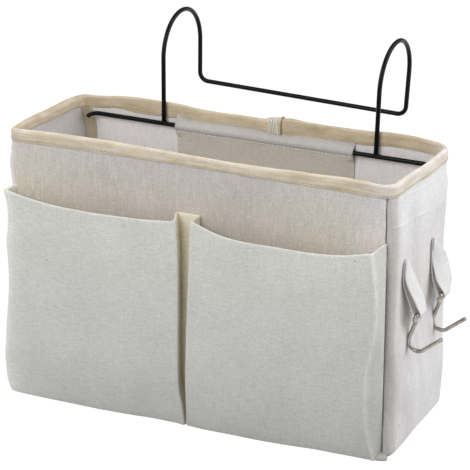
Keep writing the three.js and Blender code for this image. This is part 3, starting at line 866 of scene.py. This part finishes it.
def tape_spot(along, across, lift=0.0):
    """A place on the folded tape: round the rim, across the tape from its outer foot, and off its face."""
    if across < TAPE_LEG:
        out, height, lean = TAPE_OUTER, TAPE_FOOT + across, 0.0
    elif across > TAPE_WIDTH - TAPE_LEG:
        out, height, lean = TAPE_OUTER - 2 * TAPE_HALF, TAPE_FOOT + TAPE_WIDTH - across, math.pi
    else:
        lean = (across - TAPE_LEG) / TAPE_HALF
        out = TAPE_OUTER - TAPE_HALF + TAPE_HALF * math.cos(lean)
        height = TAPE_FOOT + TAPE_LEG + TAPE_HALF * math.sin(lean)
    spot, outward = rim_spot(along, 0.0)
    outside = across < TAPE_WIDTH / 2
    edge = min(across, TAPE_WIDTH - across)
    pucker = 0.2 * ripple(along / 7, across / 9, 71.0) + 0.25 * ripple(along / 26, across / 14, 75.0) + 0.1
    sway = 0.5 * ripple(along / 21, 0.0, 78.0) * (1 if outside else 0.7)
    height += max(0.0, 1 - edge / TAPE_LEG) * tape_foot_shift(spot, outside)
    away = lift + pucker
    pressed = 0.4 * ridge(edge, 1.6)
    spot = spot + left_bow(spot, out) + outward * (out + (away - pressed) * math.cos(lean))
    spot.z = height + away * math.sin(lean) + rim_rise(spot) + sway * ridge(edge, 3.5)
    return spot


def lap_lift(along):
    """The tape's folded end lies over its start, gapes a little, and the start humps up beyond it."""
    end = RIM_LENGTH + LAP_OVERLAP
    over = ease((along - RIM_LENGTH + 5) / 4)
    gape = 2.2 * ease((along - end + 5) / 5)
    hump = 1.3 * ridge(along - LAP_OVERLAP - 7, 7.0)
    return over + gape + hump


def add_rim_binding():
    columns = spread(0.0, RIM_LENGTH + LAP_OVERLAP, 262)
    rows = spread(0.0, TAPE_WIDTH, 16)

    def place(along, across):
        return tape_spot(along, across, lap_lift(along)), (along, across)

    bm = cloth_grid(columns, rows, place, flip=True)
    piece = finish_piece("rim_tape", bm, RIM_TAPE, "bag", ("rim_binding",))
    thicken(piece, TAPE_CLOTH, offset=0.0)


# Tapes over the corner seams inside
CORNER_TAPE_WIDTH = 10.0
CORNER_TAPE_CLOTH = 0.6
CORNER_TAPE_FOOT = 5.0


def add_corner_tape(name, quarter):
    radius = CORNER - INNER_FACE - 0.8
    centre = Vector((
        math.copysign(BAG_WIDTH / 2 - CORNER, math.cos(quarter + math.pi / 4)),
        math.copysign(BAG_DEPTH / 2 - CORNER, math.sin(quarter + math.pi / 4)),
        0.0,
    ))

    def place(across, height):
        swell = 0.5 + 0.25 * ripple(across / 4, height / 14, 90 + quarter) + 0.3 * ridge(across, 1.6)
        swell -= 1.1 * ease((height - TAPE_FOOT + 6) / 6)
        waver = 0.5 * ripple(height / 30, quarter, 93.0)
        if name == "back_right":
            swell -= 0.5 * ease((height - 190) / 12)
        if name == "back_left":
            waver += 3.4 * ease((height - 203) / 18) - 2.2
        angle = quarter + math.pi / 4 + (across + waver) / radius
        outward = Vector((math.cos(angle), math.sin(angle), 0.0))
        corner = (int(math.copysign(1, centre.x)), int(math.copysign(1, centre.y)))
        spot = centre + outward * ((CORNER - INNER_FACE) * squared(angle, corner) - 0.3 - swell)
        spot.z = height + wall_rise(spot, height)
        return spot, (height, across)

    columns = spread(-CORNER_TAPE_WIDTH / 2, CORNER_TAPE_WIDTH / 2, 10)
    rows = spread(CORNER_TAPE_FOOT, TAPE_FOOT + 3, 40)
    bm = cloth_grid(columns, rows, place, flip=True)
    piece = finish_piece(f"seam_tape_{name}", bm, SEAM_TAPE, "bag", (f"corner_tape_{name}",))
    thicken(piece, CORNER_TAPE_CLOTH, offset=0.0)


# Lines of the pocket strip: (height, place across) of its folds, (place across, depth) of its foot
LEFT_FOLD = (
    (0.0, -168.6), (4.0, -171.6), (10.0, -173.8), (20.0, -175.2), (35.0, -176.0), (50.0, -174.8),
    (65.0, -174.0), (80.0, -172.4), (95.0, -171.2), (118.0, -171.2), (138.0, -172.6), (152.0, -170.8),
    (172.0, -170.4), (186.0, -174.0),
)
RIGHT_FOLD = (
    (0.0, 166.6), (5.0, 165.2), (19.0, 161.5), (33.0, 159.1), (46.0, 158.9), (57.0, 159.2), (75.0, 160.5),
    (86.0, 162.4), (97.0, 164.6), (107.0, 166.4), (119.0, 167.9), (130.0, 168.5), (146.0, 168.2),
    (158.0, 167.0), (172.0, 165.0), (186.0, 163.2),
)
PLEAT_LEFT = (
    (0.0, -2.6), (10.0, -3.2), (20.0, -4.6), (32.0, -6.8), (60.0, -7.6), (110.0, -7.0), (150.0, -7.0),
    (172.0, -7.8), (186.0, -8.8),
)
PLEAT_RIGHT = (
    (0.0, 0.4), (10.0, 0.2), (20.0, -0.4), (32.0, -0.8), (60.0, -0.6), (110.0, 1.0), (150.0, 2.8),
    (172.0, 3.8), (186.0, 4.4),
)
POCKET_FOOT_LINE = (
    (-173.0, -85.0), (-160.0, -86.2), (-145.0, -85.6), (-74.0, -84.4), (-29.0, -81.6), (17.0, -82.0),
    (60.0, -80.2), (103.0, -76.8), (124.0, -75.2), (172.0, -74.4),
)


# Sag of the pocket mouths: (share of the pocket's width, drop)
LEFT_MOUTH = (
    (0.0, 0.0), (0.06, 1.6), (0.2, 4.9), (0.36, 7.0), (0.55, 7.6), (0.72, 6.2), (0.84, 4.8), (0.945, 3.4),
    (0.979, 3.2), (1.0, -0.4),
)
RIGHT_MOUTH = (
    (0.0, -0.4), (0.05, 2.2), (0.16, 7.0), (0.3, 9.6), (0.45, 10.2), (0.62, 10.0), (0.83, 6.8), (0.94, 3.4),
    (1.0, 1.6),
)


# Parts of the strip between its folds: how many columns each has, and its support beside each fold
POCKET_PARTS = (6, 30, 6, 4, 6, 30, 6)
FOLD_SUPPORTS = (0.8, 2.0, 3.4, 1.6, 1.6, 1.0, 0.7, 0.8)
LEFT_FRONT, STRIP, RIGHT_FRONT = 1, 3, 5


def pocket_face(x, height):
    """The pockets' front face: even at the mouth, fuller at the left and flatter at the right lower down."""
    return lerp(through_table(POCKET_FOOT_LINE, x), POCKET_FACE, ease(height / 150))


def pocket_corners(height):
    """The strip's folds in plan, from its left seam to its right seam."""
    left_fold = through_table(LEFT_FOLD, height)
    right_fold = through_table(RIGHT_FOLD, height)
    pleat_left = through_table(PLEAT_LEFT, height)
    pleat_right = through_table(PLEAT_RIGHT, height)
    sewn = lerp(pocket_face(PLEAT_X, height) + 2.5, POCKET_SEWN, ease(height / 26))
    return [
        Vector((-SEAM_X, SEAM_Y)),
        Vector((left_fold, pocket_face(left_fold, height))),
        Vector((pleat_left - 0.3, pocket_face(pleat_left, height) - 0.4)),
        Vector((pleat_left - 6.4 * ease(height / 40), sewn)),
        Vector((pleat_right + 0.9, sewn)),
        Vector((pleat_right, pocket_face(pleat_right, height) - 0.4)),
        Vector((right_fold + 0.5, pocket_face(right_fold, height) - 0.9)),
        Vector(RIGHT_SEAM),
    ]


def pocket_columns():
    """Stations along the strip as (part, share), closer together beside each fold."""
    corners = pocket_corners(POCKET_MOUTH)
    stations = []
    for part, count in enumerate(POCKET_PARTS):
        length = (corners[part + 1] - corners[part]).length
        shares = spread(FOLD_SUPPORTS[part] / length, 1 - FOLD_SUPPORTS[part + 1] / length, count)
        stations += [(part, 0.0), *((part, share) for share in shares)]
    return [*stations, (len(POCKET_PARTS) - 1, 1.0)]


def pocket_drop(part, share):
    """How far the mouth sags below the seams' tops."""
    if part == LEFT_FRONT:
        return through_table(LEFT_MOUTH, share)
    if part == RIGHT_FRONT:
        return through_table(RIGHT_MOUTH, share)
    if part == len(POCKET_PARTS) - 1:
        return lerp(1.6, -2.2, ease(share))
    return 0.0 if part == 0 else -0.4


def pocket_plan(part, share, height):
    """A place on the strip in plan: soft swells on the fronts, bent gussets and pleat sides."""
    corners = pocket_corners(height)
    first, last = corners[part], corners[part + 1]
    point = first.lerp(last, share)
    if part in (LEFT_FRONT, RIGHT_FRONT):
        belly = math.sin(math.pi * share)
        near = min(share, 1 - share) * (last - first).length
        free = ease(near / 12)
        slow = ripple(point.x / 55, height / 70, 33.0) * 1.5 + ripple(point.x / 24, height / 40, 36.0) * 0.5
        mouth = 1.2 * ridge(height - POCKET_MOUTH + 8, 26) * math.sin(3 * math.pi * share)
        point.y += pocket_face(point.x, height) - lerp(first.y, last.y, share)
        point.y -= 1.2 * belly + slow * free + mouth * free
        point.y += 0.7 * ridge(height, 4.0)
    elif part != STRIP:
        bend = math.sin(math.pi * share) * (0.9 * ripple(height / 36, part, 39.0) - 0.4)
        across = Vector((first.y - last.y, last.x - first.x)).normalized()
        point += across * bend
    return point


def add_pockets():
    columns = pocket_columns()
    lengths = [0.0]
    for before, after in zip(columns, columns[1:]):
        step = pocket_plan(*after, POCKET_MOUTH) - pocket_plan(*before, POCKET_MOUTH)
        lengths.append(lengths[-1] + step.length)
    woven_at = dict(zip(columns, lengths))
    numbers = {column: k for k, column in enumerate(columns)}
    wall_rows = [0.0, 0.008, 0.02, 0.045, *spread(0.07, 0.955, 36), 0.978, 0.992, 1.0]
    rows = [("wall", row) for row in wall_rows] + [("hem", depth) for depth in (0.9, 2.6, 5.5, POCKET_HEM)]

    def place(column, row):
        kind, amount = row
        mouth = POCKET_MOUTH - pocket_drop(*column)
        if kind == "wall":
            height = lerp(POCKET_FOOT, mouth, amount)
            plan = pocket_plan(*column, height)
            return Vector((*plan, height)), (woven_at[column], height)
        height = mouth - amount + 0.5
        k = numbers[column]
        ahead = pocket_plan(*columns[min(k + 1, len(columns) - 1)], height)
        behind = pocket_plan(*columns[max(k - 1, 0)], height)
        inward = Vector((behind.y - ahead.y, ahead.x - behind.x)).normalized()
        depth = 0.7 if column[0] == STRIP else 1.35
        plan = pocket_plan(*column, height) + inward * depth
        return Vector((*plan, height)), (woven_at[column], mouth + amount)

    bm = cloth_grid(columns, rows, place)
    piece = finish_piece("pocket_strip", bm, POCKET_LINEN, "bag", ("pocket_panel",))
    thicken(piece, CLOTH, offset=0.0)


# Pocket floors: left end, right end and depth
POCKET_FLOOR_Z = 1.5
POCKET_FLOORS = {"left": (1.2 - SEAM_X, PLEAT_X - 3.0, 14.5), "right": (PLEAT_X + 3.0, 165.0, 10.5)}


def add_pocket_floor(name):
    left, right, depth = POCKET_FLOORS[name]
    back = FRONT_Y - 0.6

    def place(x, share):
        y = lerp(through_table(POCKET_FOOT_LINE, x) + 2.6, back, share)
        return Vector((x, y, POCKET_FLOOR_Z + 0.4 * ripple(x / 30, y / 9, 52.0))), (x, y)

    bm = cloth_grid(spread(left, right, 30), spread(0.0, 1.0, 5), place)
    piece = finish_piece(f"{name}_pocket_floor", bm, POCKET_LINEN, "bag")
    thicken(piece, CLOTH, offset=0.0)


# Tuck at the right front foot: its line as (out, up), where it starts and the way it points
TUCK_LINE = [Vector(point) for point in (
    (0.0, 5.6), (5.0, 4.6), (9.4, 3.6), (12.2, 2.4), (12.3, 1.1), (9.5, 0.6), (2.0, 0.6),
)]
TUCK_ROOT = Vector((168.4, -61.0, 0.0))
TUCK_OUT = Vector((0.35, -0.937, 0.0))
TUCK_SIDEWAYS = Vector((0.937, 0.35, 0.0))
TUCK_HALF = 6.0
TUCK_FOOT = 0.6
# Thread place of the tuck, which sets it in the pocket linen's band of painted shade
TUCK_SHADE_THREAD = 435.0


def add_corner_tuck():
    """The folded seam end, where the pocket's gusset and the side cloth are sewn together."""
    total = line_length(TUCK_LINE)

    def place(across, down):
        point = along_line(TUCK_LINE, down)
        half = TUCK_HALF - 0.05 * point.x
        droop = 1 - 0.4 * across ** 4
        spot = TUCK_ROOT + TUCK_OUT * (point.x * (1 - 0.1 * across * across)) + TUCK_SIDEWAYS * across * half
        spot.z = TUCK_FOOT + (point.y - TUCK_FOOT) * droop
        # the tuck's threads lie in the pocket linen's band of painted shade
        return spot, (TUCK_SHADE_THREAD + across * 5, down)

    bm = cloth_grid(spread(-1.0, 1.0, 8), spread(0.0, total, 18), place, flip=True)
    piece = finish_piece("corner_tuck", bm, POCKET_LINEN, "bag")
    thicken(piece, CLOTH, offset=0.0)


# Sleeve over the hanger's bar: its line as (depth, height), and its seam
SLEEVE_LINE = [Vector(point) for point in (
    (62.0, 221.8), (61.2, 220.2), (60.0, 218.9), (58.6, 218.0), (57.2, 217.3), (56.2, 216.2), (55.7, 214.6),
    (55.9, 213.2), (56.4, 212.2), (57.0, 211.6), (57.4, 210.8), (57.8, 207.0), (59.2, 196.0), (59.8, 180.0),
    (59.9, 165.0), (59.8, 148.0),
)]
SLEEVE_SEAM = 211.6


def sleeve_spot(x, down, out=0.0):
    """A place on the sleeve: across, down its line and out from it; its side edges lie on the lining."""
    point = along_line(SLEEVE_LINE, down)
    below = ease((206 - point.y) / 30)
    edge = min(x - SLEEVE_LEFT, SLEEVE_RIGHT - x)
    pucker = 0.35 * ripple(x / 6, 0.0, 83.0) * ridge(point.y - SLEEVE_SEAM, 3.5)
    roll = 0.3 * ripple(x / 24, point.y / 20, 86.0) * ease((220 - point.y) / 4)
    wave = below * (1.2 * ripple(x / 40, point.y / 50, 88.0) - 0.5)
    close = 0.9 * below * (1 - ease(edge / 12))
    peak = (1 - ease((x - SLEEVE_LEFT) / 7)) * ease((point.y - 216.5) / 3)
    y = point.x + min(0.4, pucker + roll) + max(min(0.3, wave), close) - 0.7 * peak
    hug = (1 - ease(edge / 10)) * ease((209.5 - point.y) / 6)
    y += hug * max(0.0, 60.7 - y)
    return Vector((x, y - out, point.y + 3.4 * peak))


def add_sleeve():
    total = line_length(SLEEVE_LINE)
    inner_columns = spread(SLEEVE_LEFT + 4, SLEEVE_RIGHT - 4, 56)
    columns = [SLEEVE_LEFT, SLEEVE_LEFT + 1.5, *inner_columns, SLEEVE_RIGHT - 1.5, SLEEVE_RIGHT]
    rows = [*spread(0.0, 22.0, 24), *spread(25.0, total, 17)]
    bm = cloth_grid(columns, rows, lambda x, down: (sleeve_spot(x, down), (x, -down)), flip=True)
    piece = finish_piece("sleeve_cloth", bm, SLEEVE_LINEN, "bag", ("hanger_sleeve",))
    thicken(piece, SLEEVE_CLOTH, offset=0.0)


# Wire
def bent_path(corners, radii, step=math.radians(6)):
    """Points along a wire: straight between its bends, and close together round each bend."""
    path = [Vector(corners[0])]
    for k in range(1, len(corners) - 1):
        here = Vector(corners[k])
        inward = (here - Vector(corners[k - 1])).normalized()
        outward = (Vector(corners[k + 1]) - here).normalized()
        turn = inward.angle(outward)
        radius = radii[k - 1]
        start = here - inward * radius * math.tan(turn / 2)
        towards = (outward - inward * math.cos(turn)).normalized()
        count = math.ceil(turn / step)
        for n in range(count + 1):
            angle = turn * n / count
            path.append(start + inward * radius * math.sin(angle) + towards * radius * (1 - math.cos(angle)))
    path.append(Vector(corners[-1]))
    return [p for k, p in enumerate(path) if k == 0 or (p - path[k - 1]).length > 1e-4]


def extrude_ring(bm, edges):
    """Extrudes a ring of edges and gives the new ring's corners and edges."""
    made = bmesh.ops.extrude_edge_only(bm, edges=edges)["geom"]
    verts = [g for g in made if isinstance(g, bmesh.types.BMVert)]
    return verts, [g for g in made if isinstance(g, bmesh.types.BMEdge)]


def wire_mesh(path, diameter, sides=20, round_ends=True):
    """A round wire swept along a path by extruding its end ring from point to point."""
    bm = bmesh.new()
    radius = diameter / 2 * MM
    ring = bmesh.ops.create_circle(bm, cap_ends=False, segments=sides, radius=radius)["verts"]
    points = [p * MM for p in path]
    tangent = (points[1] - points[0]).normalized()
    frame_turn = tangent.to_track_quat("Z", "Y").to_matrix()
    bmesh.ops.transform(bm, verts=ring, matrix=Matrix.Translation(points[0]) @ frame_turn.to_4x4())
    edges = bm.edges[:]
    first_ring = list(ring)
    for k in range(1, len(points)):
        verts, edges = extrude_ring(bm, edges)
        before = (points[k] - points[k - 1]).normalized()
        after = points[min(k + 1, len(points) - 1)] - points[k]
        after = after.normalized() if after.length > 0 else before
        heading = (before + after).normalized()
        turn = tangent.rotation_difference(heading).to_matrix()
        for vert in verts:
            vert.co = points[k] + turn @ (vert.co - points[k - 1])
        tangent = heading
        last_ring = verts
    for verts, centre, outward in (
        (first_ring, points[0], (points[0] - points[1]).normalized()),
        (last_ring, points[-1], (points[-1] - points[-2]).normalized()),
    ):
        rim_edges = [e for e in bm.edges if e.is_boundary and e.verts[0] in verts and e.verts[1] in verts]
        for share, reach in ((0.86, 0.35), (0.5, 0.6)) if round_ends else ():
            ends, rim_edges = extrude_ring(bm, rim_edges)
            for vert in ends:
                flat = vert.co - centre
                flat -= outward * flat.dot(outward)
                vert.co = centre + flat.normalized() * radius * share + outward * radius * reach
        bmesh.ops.contextual_create(bm, geom=rim_edges)
    bmesh.ops.recalc_face_normals(bm, faces=bm.faces)
    return bm


def hanging_lean(path):
    """The lean at which a hook's weight hangs straight below its pivot."""
    moment = Vector((0, 0, 0))
    for first, last in zip(path, path[1:]):
        moment += (first + last) / 2 * (last - first).length
    return math.atan2(moment.x, -moment.z)


# Hanger
def bar_height(x):
    """The bar slopes down a little to the right."""
    return BAR_Z + BAR_RISE - (x - BAR_LEFT) * BAR_TILT


def add_hanger():
    slope = BAR_SPAN * BAR_TILT
    bar_line = [
        (BAR_LEFT, BAR_Y - BAR_TURN, BAR_Z + 0.2), (BAR_LEFT, BAR_Y, BAR_Z + BAR_RISE),
        (BAR_RIGHT, BAR_Y, BAR_Z + BAR_RISE - slope), (BAR_RIGHT, BAR_Y - BAR_TURN, BAR_Z - slope),
    ]
    bar = wire_mesh(bent_path(bar_line, [BAR_BEND, BAR_BEND]), HANGER_WIRE)
    finish_piece("hanger_cross_bar", bar, POWDER_COAT, "hanger", ("hanger_bar",))
    left_foot, right_foot = bar_height(RISER_LEFT), bar_height(RISER_RIGHT)
    hook_line = [(RISER_LEFT, BAR_Y, left_foot), *HANGER_CORNERS, (RISER_RIGHT, BAR_Y, right_foot)]
    bends = [HANGER_BEND, HANGER_BEND, REAR_BEND, REAR_BEND, HANGER_BEND, HANGER_BEND]
    hooks = wire_mesh(bent_path(hook_line, bends), HANGER_WIRE, round_ends=False)
    finish_piece("hanger_hook_wire", hooks, POWDER_COAT, "hanger", ("hanger_hooks",))
    add_riser_weld("left", RISER_LEFT, left_foot)
    add_riser_weld("right", RISER_RIGHT, right_foot)


def add_riser_weld(name, x, z):
    """A rough bead of weld at a riser's foot."""
    bead = bmesh.new()
    bmesh.ops.create_icosphere(bead, subdivisions=3, radius=1.0)
    for vert in bead.verts:
        rough = 1 + 0.12 * noise.noise(vert.co * 1.8 + Vector((x, 0, 0)))
        vert.co = vert.co * Vector(WELD_SIZE) * rough
        vert.co = (vert.co + Vector((x, BAR_Y, z + WELD_LIFT))) * MM
    finish_piece(f"{name}_riser_weld", bead, POWDER_COAT, "hanger")


# Stitching: length, pitch and width of each kind of stitch, and the threads whipped over the lap
RIM_STITCH = {"length": 2.9, "pitch": 3.6, "width": 0.7}
SLEEVE_STITCH = {"length": 3.3, "pitch": 3.5, "width": 1.2}
LOOP_STITCH = {"length": 1.6, "pitch": 2.0, "width": 0.4}
RIM_STITCH_INSET = 2.6
WHIP_COUNT = 6
WHIP_PITCH = 1.6
WHIP_SLANT = 3.6
WHIP_THREAD = 1.2


def join_mesh(bm, made):
    """Adds a small finished bmesh to a larger one."""
    mesh = bpy.data.meshes.new("joined")
    made.to_mesh(mesh)
    made.free()
    bm.from_mesh(mesh)
    bpy.data.meshes.remove(mesh)


def sew(bm, path, faces, length, pitch, width):
    """A row of stitches: small spindles laid along a path, each on the face that its normal gives."""
    total = line_length(path)
    count = int(total / pitch)
    group = bmesh.new()
    for k in range(count):
        middle = (k + 0.5 + 0.16 * ripple(0.37 * k, total, 4.0)) * total / count
        spot = along_line(path, middle)
        ahead = along_line(path, min(total, middle + 0.6))
        behind = along_line(path, max(0.0, middle - 0.6))
        heading = (ahead - behind).normalized()
        share = middle / total * (len(faces) - 1)
        up = faces[int(share)].lerp(faces[min(int(share) + 1, len(faces) - 1)], share % 1.0)
        side = up.cross(heading).normalized()
        up = heading.cross(side)
        turn = Matrix((side, up, heading)).transposed().to_4x4()
        size = Matrix.Diagonal((width / 2 * MM, width / 3 * MM, length / 2 * MM, 1.0))
        place = Matrix.Translation(spot * MM) @ turn @ size
        bmesh.ops.create_uvsphere(group, u_segments=6, v_segments=5, radius=1.0, matrix=place)
        if len(group.verts) > 400:
            join_mesh(bm, group)
            group = bmesh.new()
    join_mesh(bm, group)


def tape_row(across, start, stop, steps, lift):
    """A row along the rim tape, and the way its face points along the row."""
    path = [tape_spot(along, across, lift + lap_lift(along)) for along in spread(start, stop, steps)]
    sign = 1 if across < TAPE_WIDTH / 2 else -1
    return path, [rim_spot(along, 0.0)[1] * sign for along in spread(start, stop, steps)]


def add_rim_stitches():
    bm = bmesh.new()
    for across in (RIM_STITCH_INSET, TAPE_WIDTH - RIM_STITCH_INSET):
        path, faces = tape_row(across, 1.0, RIM_LENGTH - 1.0, 300, 0.55)
        sew(bm, path, faces, **RIM_STITCH)
    finish_piece("rim_stitches", bm, YELLOW_THREAD, "bag")


def add_sleeve_stitches():
    bm = bmesh.new()
    seam = next(d for d in spread(0.0, 40.0, 400) if along_line(SLEEVE_LINE, d).y < SLEEVE_SEAM - 0.7)
    path = [sleeve_spot(x, seam, 0.7) for x in spread(SLEEVE_LEFT + 2, SLEEVE_RIGHT - 2, 80)]
    sew(bm, path, [Vector((0, -1, 0))] * len(path), **SLEEVE_STITCH)
    finish_piece("sleeve_stitches", bm, CREAM_THREAD, "bag")


def add_lap_stitches():
    """Slanting threads whipped over the tape's lap."""
    bm = bmesh.new()
    for k in range(WHIP_COUNT):
        along = RIM_LENGTH - 0.6 + k * WHIP_PITCH
        crossing = []
        for t in spread(0, 1, 14):
            here = along + WHIP_SLANT * t
            crossing.append(tape_spot(here, lerp(TAPE_LEG * 0.2, TAPE_WIDTH - 0.8, t), lap_lift(here) + 0.75))
        join_mesh(bm, wire_mesh(crossing, WHIP_THREAD, sides=6))
    finish_piece("lap_whip_stitches", bm, CREAM_THREAD, "bag")


# Cloth loops: sideways offset by depth, slant of the seam, twist, half width at the seam
LOOP_WAYS = {
    "front": {
        "offset": ((0, -9.5), (15, -6.0), (32, -0.6), (44, 0.0)),
        "slant": 4.5, "twist": 0.8, "top": 3.0, "seed": 101.0,
    },
    "rear": {
        "offset": ((0, -3.0), (16, 3.2), (32, 1.6), (44, 0.0)),
        "slant": 4.0, "twist": 3.6, "top": 1.9, "seed": 107.0,
    },
}


def cubic(points, t):
    a, b, c, d = (Vector(p) for p in points)
    s = 1 - t
    return a * s ** 3 + b * 3 * s * s * t + c * 3 * s * t * t + d * t ** 3


def loop_line():
    """The strip's side view in (out, up) from its seam: down the wall, round the eye and back up."""
    pivot = Vector((HOOK_X - BAG_WIDTH / 2, -LOOP_DROP))
    inner_end, outer_end = math.radians(200), math.radians(378)
    fold = [pivot + Vector((math.cos(a), math.sin(a))) * LOOP_FOLD for a in spread(inner_end, outer_end, 9)]
    inner = [cubic(((1.0, LOOP_TAB), (1.0, -22), (3.2, -31), fold[0]), t) for t in spread(0, 1, 14)]
    outer = [cubic((fold[-1], (6.0, -20), (2.6, -14), (2.5, LOOP_TAB)), t) for t in spread(0, 1, 16)]
    return inner[:-1] + fold + outer[1:]


def loop_placer(name):
    """Gives the place on a loop for a share across the strip and a length down it."""
    y, z = LOOPS[name]
    way = LOOP_WAYS[name]
    line = loop_line()
    total = line_length(line)

    def place(across, down):
        point = along_line(line, down)
        depth = -point.y
        outside = ease((down - total / 2) / 6 + 0.5)
        half = lerp(way["top"], LOOP_HALF, ease((depth + 3.5) / 20))
        half = lerp(half, LOOP_FOLD_HALF, ease((depth - 32) / 12))
        free = ease(depth / 12) * ease((46 - depth) / 16)
        cup = 0.9 * (1 - across * across) * free * (2 * outside - 1)
        twist = way["twist"] * across * free * lerp(0.3, 1.0, outside)
        waver = 0.5 * ripple(depth / 9, across, way["seed"]) * free
        out = max(1.0, point.x + cup + twist + waver)
        sideways = through_table(way["offset"], depth) + across * half
        up = min(LOOP_TAB, point.y + way["slant"] / 2 * across * (1 - ease((depth + 2) / 18)))
        return Vector((BAG_WIDTH / 2 + out, y + sideways, z + up)), (across * half, down)

    return place, total


def add_loop(name):
    place, total = loop_placer(name)
    columns = [-1.0, -0.9, -0.6, -0.3, 0.0, 0.3, 0.6, 0.9, 1.0]
    bm = cloth_grid(columns, spread(0.0, total, 60), place, flip=True)
    piece = finish_piece(f"{name}_loop_strip", bm, LOOP_LINEN, f"{name}_loop", (f"{name}_loop",))
    thicken(piece, LOOP_CLOTH, offset=0.0)
    bm = bmesh.new()
    row = [place(across, total - 3.0)[0] + Vector((0.62, 0, 0)) for across in spread(-0.8, 0.8, 8)]
    sew(bm, row, [Vector((1, 0, 0))] * len(row), **LOOP_STITCH)
    finish_piece(f"{name}_loop_stitches", bm, CREAM_THREAD, f"{name}_loop")


# Side hooks
def add_hook(name):
    """A bent wire hook: its eye from the wire's end, then the shank, the bend and the tip."""
    y, z = LOOPS[name]
    foot = -EYE_HEIGHT - SHANK
    run = HOOK_BEND * (1 + math.tan(HOOK_RISE / 2))
    tip = HOOK_BEND * math.tan(HOOK_RISE / 2) + HOOK_TIP
    end = 1 - EYE_END / EYE_HALF
    local = [
        (0, -EYE_HALF * (1 - end), lerp(-EYE_SIDE, -EYE_HEIGHT, end)),
        (0, -EYE_HALF, -EYE_SIDE), (0, -EYE_HALF, 0), (0, EYE_HALF, 0), (0, EYE_HALF, -EYE_SIDE),
        (0, 0, -EYE_HEIGHT), (0, 0, foot - HOOK_BEND), (run, 0, foot - HOOK_BEND),
        (run + tip * math.cos(HOOK_RISE), 0, foot - HOOK_BEND + tip * math.sin(HOOK_RISE)),
    ]
    path = bent_path(local, [*EYE_BENDS, HOOK_BEND, HOOK_BEND])
    lean = Matrix.Rotation(hanging_lean(path), 3, "Y")
    place = Vector((HOOK_X, y, z - LOOP_DROP))
    bm = wire_mesh([lean @ p + place for p in path], HOOK_WIRE, sides=16)
    finish_piece(f"{name}_wire_hook", bm, NICKEL, f"{name}_hook", (f"{name}_hook",))


# Studio: each light's name, place, aim, size in metres and power in watts
COOL = (0.965, 0.99, 1.03)
SKY_STRENGTH = 0.3
FLOOR_REACH = 9.0
FLOOR_DROP = 0.0004
LIGHTS = (
    ("key_right_rear", (1.6, 0.55, 1.0), (0.0, 0.0, 0.12), 1.9, 32.5),
    ("front_top", (-0.2, -1.25, 1.1), (0.0, -0.06, 0.16), 1.0, 14.6),
    ("left_bounce", (-1.7, 0.05, 0.7), (0.0, 0.0, 0.12), 1.2, 9),
    ("top_soft", (0.1, 0.25, 1.9), (0.0, 0.0, 0.1), 0.8, 4),
)


def add_light(name, place, aim, size, power):
    data = bpy.data.lights.new(name, "AREA")
    data.shape = "SQUARE"
    data.size = size
    data.energy = power
    data.color = COOL
    put_facing(name, data, place, Vector(aim) - Vector(place))


def add_floor():
    bm = bmesh.new()
    bmesh.ops.create_grid(bm, x_segments=2, y_segments=2, size=FLOOR_REACH)
    floor = mesh_object("floor", bm, studio_floor())
    floor.location.z = -FLOOR_DROP
    floor.visible_diffuse = False


def add_studio():
    add_floor()
    world = bpy.data.worlds.new("studio")
    world.use_nodes = True
    sky = world.node_tree.nodes["Background"]
    sky.inputs["Color"].default_value = (*COOL, 1.0)
    sky.inputs["Strength"].default_value = SKY_STRENGTH
    bpy.context.scene.world = world
    for light in LIGHTS:
        add_light(*light)
    bpy.context.scene.view_settings.view_transform = "Standard"


# The caddy
set_camera()
add_studio()
for wall in WALLS:
    add_outer_panel(wall)
    add_lining(wall)
add_base()
add_base_lining()
add_rim_binding()
for number, corner in enumerate(("back_right", "back_left", "front_left", "front_right")):
    add_corner_tape(corner, number * math.pi / 2)
add_pockets()
for pocket in POCKET_FLOORS:
    add_pocket_floor(pocket)
add_corner_tuck()
add_sleeve()
add_hanger()
for loop_name in LOOPS:
    add_loop(loop_name)
    add_hook(loop_name)
add_rim_stitches()
add_sleeve_stitches()
add_lap_stitches()
for side in (*WALLS, "base"):
    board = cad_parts[f"{side}_board"].data
    board.materials.clear()
    board.materials.append(CARD)

bpy.context.view_layer.update()
